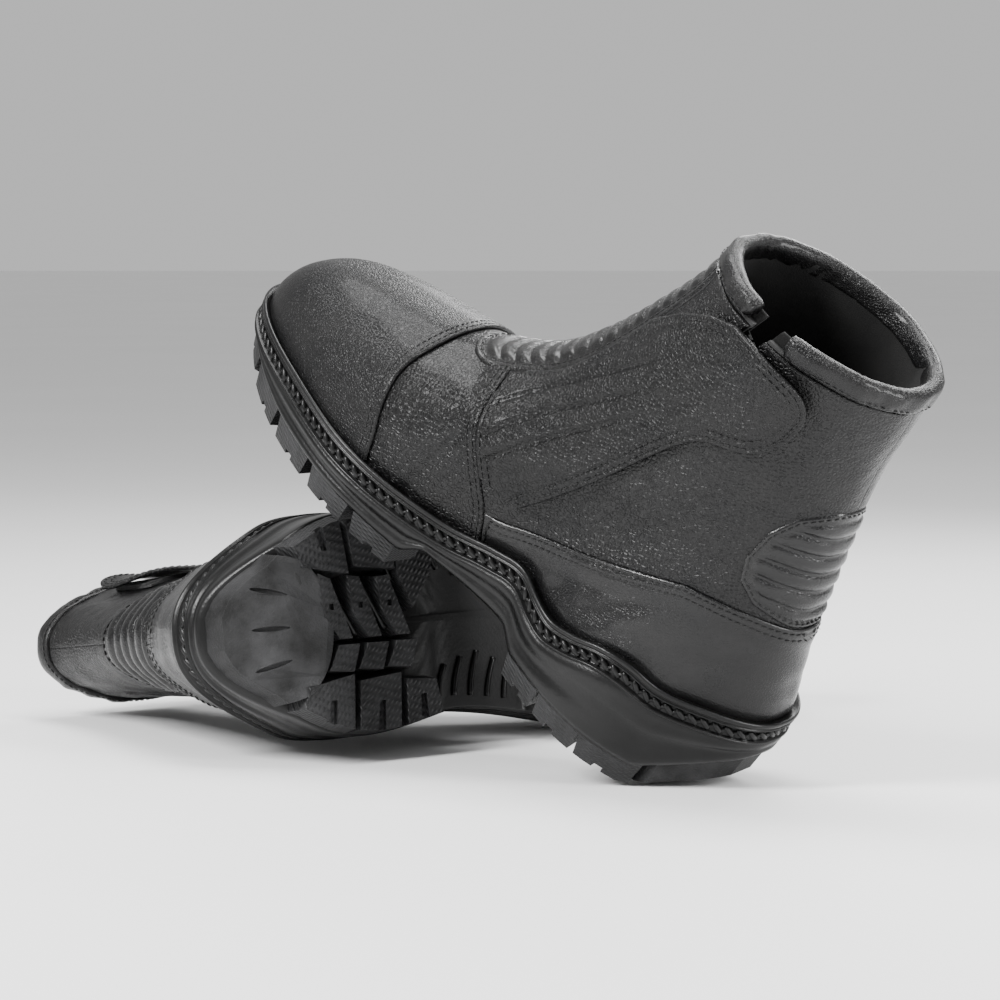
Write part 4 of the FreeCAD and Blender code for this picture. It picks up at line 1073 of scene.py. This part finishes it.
def build_upper(form):
    boot = form.boot
    body = boot + "_boot"
    seed = 11 if boot == "left" else 23
    angles = np.linspace(0, 2 * math.pi, 421)
    levels = np.concatenate([np.linspace(0.35, 4, 52), np.linspace(4, TOP - 0.52, 150)[1:]])
    vamp_in = side_field(VAMP_SEAM)
    ankle_in = side_field(ANKLE_SEAM)
    heel_in = side_field(HEEL_PAD)
    toe_in = side_field(TOE_SEAM)
    threads = []

    def strip_in(point):
        return strip_field(form, point)

    # Vamp: its rear edge lies over the ankle panel and the quarters.
    vamp, point, _ = cut_panel(form, lambda p: np.minimum(vamp_in(p), -strip_in(p) + 1.5), angles,
                               levels, 0.9)
    seam = vamp_in(point)
    over = 1.0 - smooth((seam - 3.0) / 9.0)
    wrinkle = waves(point, 26.0, seed) * 0.35 * smooth((210 - point[:, 0]) / 50)
    flex = -0.9 * bell(point[:, 0] + 0.25 * point[:, 2] - 186 - 2 * waves(point, 60, 5), 3.2)
    flex -= 0.7 * bell(point[:, 0] + 0.35 * point[:, 2] - 172 - 3 * waves(point, 50, 6), 2.6)
    top = (0.95 * over + wrinkle + flex * smooth(seam / 12) + thread_groove(seam)
           - edge_drop(vamp.value, 0.9))
    points, faces = vamp.solid(top, -LEATHER + (LEATHER + 0.1) * over)
    add(boot, "vamp_leather", points, faces, "grain_leather", body, [boot + "_vamp"])
    for row, lift in zip(SEAM_ROWS, (1.05, 0.85)):
        threads += stitches(form, contours(vamp, row, seam), lift)

    # Toe overlay: a raw edge and a double row of stitches.
    toe, point, _ = cut_panel(form, lambda p: np.minimum(toe_in(p), -strip_in(p) - 0.6), angles,
                              levels[:150], 0.8)
    seam = toe_in(point)
    lift = 1.75 + 0.12 * waves(point, 30.0, seed + 3)
    groove = thread_groove(seam, TOE_ROWS, 0.25, 0.8)
    points, faces = toe.solid(lift + groove - edge_drop(toe.value, 0.8), 0.15)
    add(boot, "toe_leather", points, faces, "toe_leather", body, [boot + "_toe_overlay"])
    for row in TOE_ROWS:
        threads += stitches(form, contours(toe, row, seam), 1.72)

    # Ankle panel: smooth, glossy, a little wrinkled; its upper edge lies over the quarters.
    ankle, point, _ = cut_panel(form, lambda p: np.minimum(ankle_in(p), 3.5 - vamp_in(p)), angles,
                                levels, 0.9)
    seam, under = ankle_in(point), vamp_in(point)
    over = (1.0 - smooth((seam - 3.0) / 9.0)) * (1 - smooth((under + 6) / 5))
    wrinkle = 0.55 * waves(point, 34.0, seed + 1) + 0.25 * waves(point, 13.0, seed + 2)
    wrinkle *= smooth(seam / 14) * (1 - smooth((under + 4) / 4))
    groove = thread_groove(seam) * (under < 0)
    tuck = -0.2 * smooth((under + 0.5) / 1.0)
    top = 0.95 * over + wrinkle + groove + tuck - edge_drop(ankle.value, 0.9)
    points, faces = ankle.solid(top, -LEATHER + (LEATHER + 0.1) * over)
    add(boot, "ankle_leather", points, faces, "smooth_leather", body, [boot + "_ankle_panel"])
    keep = np.where(under < -1.5, seam, -5.0)
    for row, lift in zip(SEAM_ROWS, (1.05, 0.85)):
        threads += stitches(form, contours(ankle, row, keep), lift)

    # Quarters: plain pebbled leather with the zip's slot on the outer side.
    for name, sign in (("outer", 1.0), ("inner", -1.0)):
        def quarter_in(p, sign=sign):
            field = np.minimum(-ankle_in(p) + 3.5, -vamp_in(p) + 3.5)
            field = np.minimum(field, -strip_in(p) + 1.5)
            field = np.minimum(field, -heel_in(p) + 1.5)
            if sign > 0:
                field = np.minimum(field, zip_distance(form, p) - ZIP_SLOT / 2)
            return np.minimum(field, sign * p[:, 1])

        part, point, _ = cut_panel(form, quarter_in, angles, levels, 0.8)
        covered = np.max([ankle_in(point), vamp_in(point), strip_in(point), heel_in(point)], 0)
        wrinkle = 0.45 * waves(point, 38.0, seed + 5) + 0.16 * waves(point, 12.0, seed + 6)
        wrinkle *= smooth(-covered / 8)
        edge = np.where(np.abs(point[:, 1]) < 1.0, 9.0, part.value)
        top = wrinkle - 0.25 * smooth((covered + 0.6) / 1.0) - edge_drop(edge, 0.8)
        points, faces = part.solid(top, -LEATHER)
        add(boot, name + "_quarter_leather", points, faces, "grain_leather", body,
            ["%s_%s_quarter" % (boot, name)])

    # Padded strip over the instep: raised ribs across it, and a raised rim.
    front = np.linspace(math.pi - 1.45, math.pi + 1.45, 221)
    rows = np.linspace(4.6, TOP - 0.52, 236)
    pad, point, normal = cut_panel(form, strip_in, front, rows, 1.1)
    along = np.linspace(4.6, TOP, 400)
    place = np.interp(pad.uv[:, 1], along, run_along(form.ring(np.full(400, math.pi), along)))
    place += 5.5 * (pad.uv[:, 0] - math.pi) ** 2
    rib = place / PAD_RIB
    crease = np.abs(rib - np.round(rib)) * PAD_RIB
    across = np.clip(pad.value - 3.2, 0, 6) / 6
    swell = (1 - np.exp(-(crease / 1.5) ** 1.5)) * smooth(across * 1.6)
    border = smooth(bell(pad.value - 1.6, 1.7))
    blown = inflate(pad)
    relief = 0.1 + 1.25 * swell + 0.75 * border - edge_drop(pad.value, 1.1)
    relief += 0.12 * waves(point, 9.0, seed + 8)
    top = np.sum((blown - point) * normal, 1) * smooth((pad.value - 3) / 5) * 0.35 + relief
    points, faces = pad.solid(top, -LEATHER)
    made = add(boot, "instep_padding", points, faces, "padded_leather", body, [boot + "_instep_pad"])
    threads += stitches(form, contours(pad, 2.9), 0.75)

    # Padding over the heel tendon: bold ribs.
    back = np.linspace(-1.75, 1.75, 241)
    rows = np.linspace(6.0, TOP - 1.5, 190)
    tendon, point, normal = cut_panel(form, heel_in, back, rows, 1.1)
    high = 157 - (point[:, 0] + 30) * 8 / 65
    rib = (point[:, 2] - 94) / (high - 94) * HEEL_RIBS
    pitch = (high - 94) / HEEL_RIBS
    crease = np.abs(rib - np.round(rib)) * pitch
    across = np.clip(tendon.value - 2.2, 0, 6) / 6
    swell = (1 - np.exp(-(crease / 1.9) ** 1.5)) * smooth(across * 1.7)
    blown = inflate(tendon)
    relief = 0.1 + 1.55 * swell + 0.4 * bell(tendon.value - 1.2, 1.2) - edge_drop(tendon.value, 1.1)
    relief += 0.22 * waves(point, 10.0, seed + 9) * smooth((tendon.value - 2) / 3)
    top = np.sum((blown - point) * normal, 1) * smooth((tendon.value - 2) / 5) * 0.5 + relief
    points, faces = tendon.solid(top, -LEATHER)
    made = add(boot, "heel_padding", points, faces, "padded_leather", body, [boot + "_heel_pad"])
    threads += stitches(form, contours(tendon, 1.9), 0.55)

    # Lining: dark suede, with the slot for the zip.
    def lining_in(p):
        return np.minimum(zip_distance(form, p) - ZIP_SLOT / 2, 50.0)

    lined = Panel(form, lining_in, angles[::2].copy(), np.linspace(0.02, TOP - 0.15, 120))
    lined.trim()
    point, _ = form.face(lined.uv[:, 0], lined.uv[:, 1])
    loose = 0.35 * waves(point, 30.0, seed + 12)
    seam = -0.5 * bell(point[:, 1] - 4.0, 1.2) * (point[:, 0] < 60)
    points, faces = lined.solid(LINING_OUT, LINING_IN + np.minimum(loose, 0.2) - seam * 0.6)
    add(boot, "lining_suede", points, faces, "lining_suede", body,
        [boot + "_outer_lining", boot + "_inner_lining"])

    # Rolled binding round the collar, split where the zip opens.
    split = COLLAR_BACK + SHAFT_DEPTH - ZIP_SET_BACK - ZIP_DROP * math.tan(math.radians(ZIP_LEAN))
    fine = np.linspace(0, 2 * math.pi, 721)
    ring = form.ring(fine, np.full(len(fine), float(TOP)))
    open_ = (np.abs(ring[:, 0] - split) < COLLAR_SPLIT / 2) & (ring[:, 1] > 0)
    first = int(np.nonzero(open_)[0].max())
    last = int(np.nonzero(open_)[0].min()) + len(fine) - 1
    turns = fine[np.arange(first, last) % (len(fine) - 1)]
    point, normal = form.face(turns, np.full(len(turns), float(TOP)))
    lower = form.ring(turns, np.full(len(turns), TOP - 0.2))
    up = unit(point - lower)
    section = [(0.15, -8.6), (0.9, -8.0), (1.35, -6.6), (1.55, -4.5), (1.5, -2.4), (1.0, -0.6), (-0.1, 0.5),
               (-1.6, 0.95), (-3.1, 0.95), (-4.6, 0.5), (-5.6, -0.6), (-6.0, -2.4), (-6.05, -4.5), (-6.0, -6.6),
               (-5.9, -8.0), (-5.2, -8.6)]
    run = run_along(point)
    rows = []
    for k, (out, rise) in enumerate(section):
        crumple = 0.34 * np.sin(run / 2.6 + 1.3 * np.sin(run / 11.0) + k * 0.5) * bell(k - 3.5, 5.0)
        crumple += 0.22 * waves(point + np.array((0, 0, 1.0)) * k * 1.5, 7.0, seed + 14)
        taper = 1 - 0.35 * (bell(run, 3.0) + bell(run[-1] - run, 3.0))
        shift = (out + 2.3 + crumple) * taper - 2.3
        rows.append(point + normal * shift[:, None] + up * (rise * taper)[:, None])
    count = len(turns)
    points = np.vstack(rows)
    faces = [(r * count + k, r * count + k + 1, ((r + 1) % len(rows)) * count + k + 1,
              ((r + 1) % len(rows)) * count + k) for r in range(len(rows)) for k in range(count - 1)]
    faces.append(tuple(r * count for r in range(len(rows))))
    faces.append(tuple(r * count + count - 1 for r in reversed(range(len(rows)))))
    add(boot, "collar_roll", points, faces, "binding_leather", body, [boot + "_collar_binding"])
    places, ahead = resampled(np.hstack([point + normal * 1.45 - up * 6.9, normal]), 3.0)
    threads.append(beads(places[:, :3], ahead[:, :3], places[:, 3:], 2.3, 0.6, 0.5, 6, 3))

    points, faces = merged(threads)
    add(boot, "stitching", points, faces, "thread", body)


FLAP_EDGE_POINT = (137.0, 26.0, 145.0)
FLAP_BACKWARDS = np.array((-0.62, 0.66, -0.42))
FLAP_BEND = 14.0


def sewn(piece, boot):
    """Bakes the piece's placement into its mesh. Spots along the flap's sewn front edge are worked out but not
    used.
    """
    turn, shift = PLACE[boot]
    for reach in (0.0, FLAP_BEND):
        spot = np.array(FLAP_EDGE_POINT) + FLAP_BACKWARDS * reach
        spot[1] *= SIDE[boot]
    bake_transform(piece)


def tab_lift(point):
    """How far the flap's tab stands off the boot."""
    tab = smooth((84 - point[:, 0]) / 34) * smooth((point[:, 2] - 138) / 16)
    return 3.2 * tab * (0.75 + 0.35 * np.sin(point[:, 2] / 7.5))


def build_flap(form):
    """The closure flap: pleated, raw edged, its tab standing off a little."""
    boot = form.boot
    seed = 31 if boot == "left" else 47
    flap_in = side_field(FLAP_EDGE)
    angles = np.linspace(0.5, math.pi - 0.05, 330)
    levels = np.linspace(4.0, TOP - 0.55, 230)

    def field(p):
        value = np.minimum(flap_in(p), -strip_field(form, p) - 1.0)
        return np.where(p[:, 1] > 0, value, -5.0)

    flap, point, _ = cut_panel(form, field, angles, levels, 0.9)
    x, z = point[:, 0], point[:, 2]
    back = -((x - 171) * 98 + (z - 96) * 67) / 118.7
    along = (-(x - 171) * 67 + (z - 96) * 98) / 118.7
    bend = 2.0 * waves(point, 120, seed)
    pleats = 0
    for k, spot in enumerate((15.0, 23.5, 32.0)):
        reach = smooth((98 - 12 * k - along) / 26) * smooth((along + 34) / 18)
        pleats = pleats - 1.0 * bell(back - spot - bend, 1.7) * reach
        pleats = pleats + 0.45 * bell(back - spot - bend + 3.2, 3.0) * reach
    folds = 0.55 * waves(point, 24.0, seed + 1) + 0.2 * waves(point, 9.0, seed + 2)
    lift = tab_lift(point)
    calm = smooth(flap.value / 6)
    top = (FLAP_OUT + lift + pleats * calm + folds * calm * 0.8 + thread_groove(flap.value)
           - edge_drop(flap.value, 0.9))
    points, faces = flap.solid(top, FLAP_IN + lift)
    made = add(boot, "flap_leather", points, faces, "flap_leather", None, [boot + "_closure_flap"])
    sewn(made, boot)
    threads = []
    for row in SEAM_ROWS:
        for line in contours(flap, row):
            inner, _ = form.face(line[:, 0], line[:, 1])
            strip = -strip_field(form, inner) - 1.0
            keep = strip > 8.0
            groups = np.split(np.arange(len(line)), np.nonzero(np.diff(keep.astype(int)))[0] + 1)
            for group in groups:
                if len(group) > 6 and keep[group[0]]:
                    places, _ = resampled(np.hstack([inner[group], line[group]]), STITCH_PITCH)
                    here, normal = form.face(places[:, 3], places[:, 4])
                    rise = FLAP_OUT + 0.05 + tab_lift(here)
                    ahead = unit(np.gradient(here, axis=0))
                    threads.append(beads(here + normal * rise[:, None], ahead, normal, 2.4, 0.62, 0.55, 6, 3))
    points, faces = merged(threads)
    sewn(add(boot, "flap_stitching", points, faces, "thread", None), boot)


def build_sole(form):
    boot = form.boot
    body = boot + "_boot"
    plan = Plan(form)
    points, faces = sole_body(plan)
    add(boot, "sole_wall", points, faces, "sole_rubber", body, [boot + "_outsole"])
    points, faces = rope(plan)
    add(boot, "sole_rope", points, faces, "sole_rubber", body, ())
    blocks, cuts, bars = (heel + fore for heel, fore in zip(heel_lugs(plan), forefoot_lugs(plan)))
    points, faces = merged(cuts)
    cutter = add(boot, "cutter", points, faces, "tread_rubber", body, smooth_faces=False)
    for name, some, finish in (("heel_plate", blocks[:1], "plate_rubber"), ("lugs", blocks[1:], "tread_rubber")):
        points, faces = merged(some)
        made = add(boot, name, points, faces, finish, body, (), smooth_faces=False)
        carve = made.modifiers.new("carve", "BOOLEAN")
        carve.operation = "DIFFERENCE"
        carve.solver = "EXACT"
        carve.use_self = True
        carve.object = cutter
        bevel = made.modifiers.new("round", "BEVEL")
        bevel.width = 0.45 * MM
        bevel.segments = 2
        bevel.limit_method = "ANGLE"
        bevel.angle_limit = math.radians(32)
        graph = bpy.context.evaluated_depsgraph_get()
        final = bpy.data.meshes.new_from_object(made.evaluated_get(graph))
        made.modifiers.clear()
        made.data = final
    bpy.data.objects.remove(cutter)
    points, faces = merged([tube(line, radius) for line, radius in bars + waist_bars(plan)])
    add(boot, "sole_bars", points, faces, "sole_rubber", body, ())


for each in ("right", "left"):
    shape = Form(each)
    build_sole(shape)
    build_upper(shape)
    build_flap(shape)


# ---------------------------------------------------------------------------------------------
# The design's own pieces that still show.

OWN_FINISH = {
    "interlining": "foam", "toe_cap": "steel", "heel_counter": "counter_board", "steel_shank": "steel",
    "steel_midsole": "steel", "insole_board": "fibre_board", "footbed": "footbed_fabric",
    "hook_patch": "touch_fastener", "loop_patch": "touch_fastener", "zip_tape_front": "zip_tape",
    "zip_tape_rear": "zip_tape", "zip_slider": "zip_metal", "zip_pull": "zip_metal", "zip_stop": "zip_metal",
}
for name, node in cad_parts.items():
    finish = OWN_FINISH.get(name.split("_", 1)[1])
    if finish:
        node.data.materials.clear()
        node.data.materials.append(FINISH[finish])


# ---------------------------------------------------------------------------------------------
# Floor, light and camera.

def floor_piece():
    mesh = bpy.data.meshes.new("floor")
    low, reach = -0.0008, 14.0
    points = [(-reach, -reach, low), (reach, -reach, low), (reach, reach, low), (-reach, reach, low)]
    mesh.from_pydata(points, [], [(0, 1, 2, 3)])
    piece = bpy.data.objects.new("floor", mesh)
    bpy.context.scene.collection.objects.link(piece)
    material, tree, shader = new_material("pale_floor")
    patchy = noise(tree, 3.0, 3.0, 0.5)
    tint(tree, shader, patchy, (0.80, 0.80, 0.80), (0.86, 0.86, 0.86))
    shader.inputs["Roughness"].default_value = 0.6
    mesh.materials.append(material)


def lamp(name, place, target, width, height, power):
    data = bpy.data.lights.new(name, "AREA")
    data.shape = "RECTANGLE"
    data.size, data.size_y = width, height
    data.energy = power
    item = bpy.data.objects.new(name, data)
    item.location = place
    item.rotation_mode = "QUATERNION"
    item.rotation_quaternion = (Vector(target) - Vector(place)).to_track_quat("-Z", "Y")
    bpy.context.scene.collection.objects.link(item)


floor_piece()
world = bpy.data.worlds.new("studio")
bpy.context.scene.world = world
world.use_nodes = True
world.node_tree.nodes["Background"].inputs["Color"].default_value = (1.0, 1.0, 1.0, 1)
world.node_tree.nodes["Background"].inputs["Strength"].default_value = 0.62
lamp("key", (-0.85, -0.70, 0.95), (0, 0, 0.08), 0.35, 0.6, 38.0)
lamp("fill", (1.0, -0.70, 0.55), (0, 0, 0.10), 0.3, 0.7, 20.0)
lamp("top", (0.1, 0.15, 1.25), (0, 0, 0.05), 1.0, 0.5, 20.0)
lamp("rim", (0.5, 0.85, 0.7), (0, 0, 0.12), 0.8, 0.3, 9.0)

CAMERA_LENS = 136.5
CAMERA_AZIMUTH, CAMERA_ELEVATION, CAMERA_DISTANCE = 0.0, 4.3, 1.51
right_shift = PLACE["right"][1]
aim = Vector(((right_shift[0] + 104.1) * MM, (right_shift[1] - 40.0) * MM, 0.1153))
rise, side = math.radians(CAMERA_ELEVATION), math.radians(CAMERA_AZIMUTH)
away = Vector((math.sin(side) * math.cos(rise), -math.cos(side) * math.cos(rise), math.sin(rise)))
camera_data = bpy.data.cameras.new("camera")
camera_data.lens = CAMERA_LENS
camera_data.clip_end = 20.0
camera = bpy.data.objects.new("camera", camera_data)
camera.location = aim + away * CAMERA_DISTANCE
camera.rotation_mode = "QUATERNION"
camera.rotation_quaternion = (-away).to_track_quat("-Z", "Y")
bpy.context.scene.collection.objects.link(camera)
bpy.context.scene.camera = camera
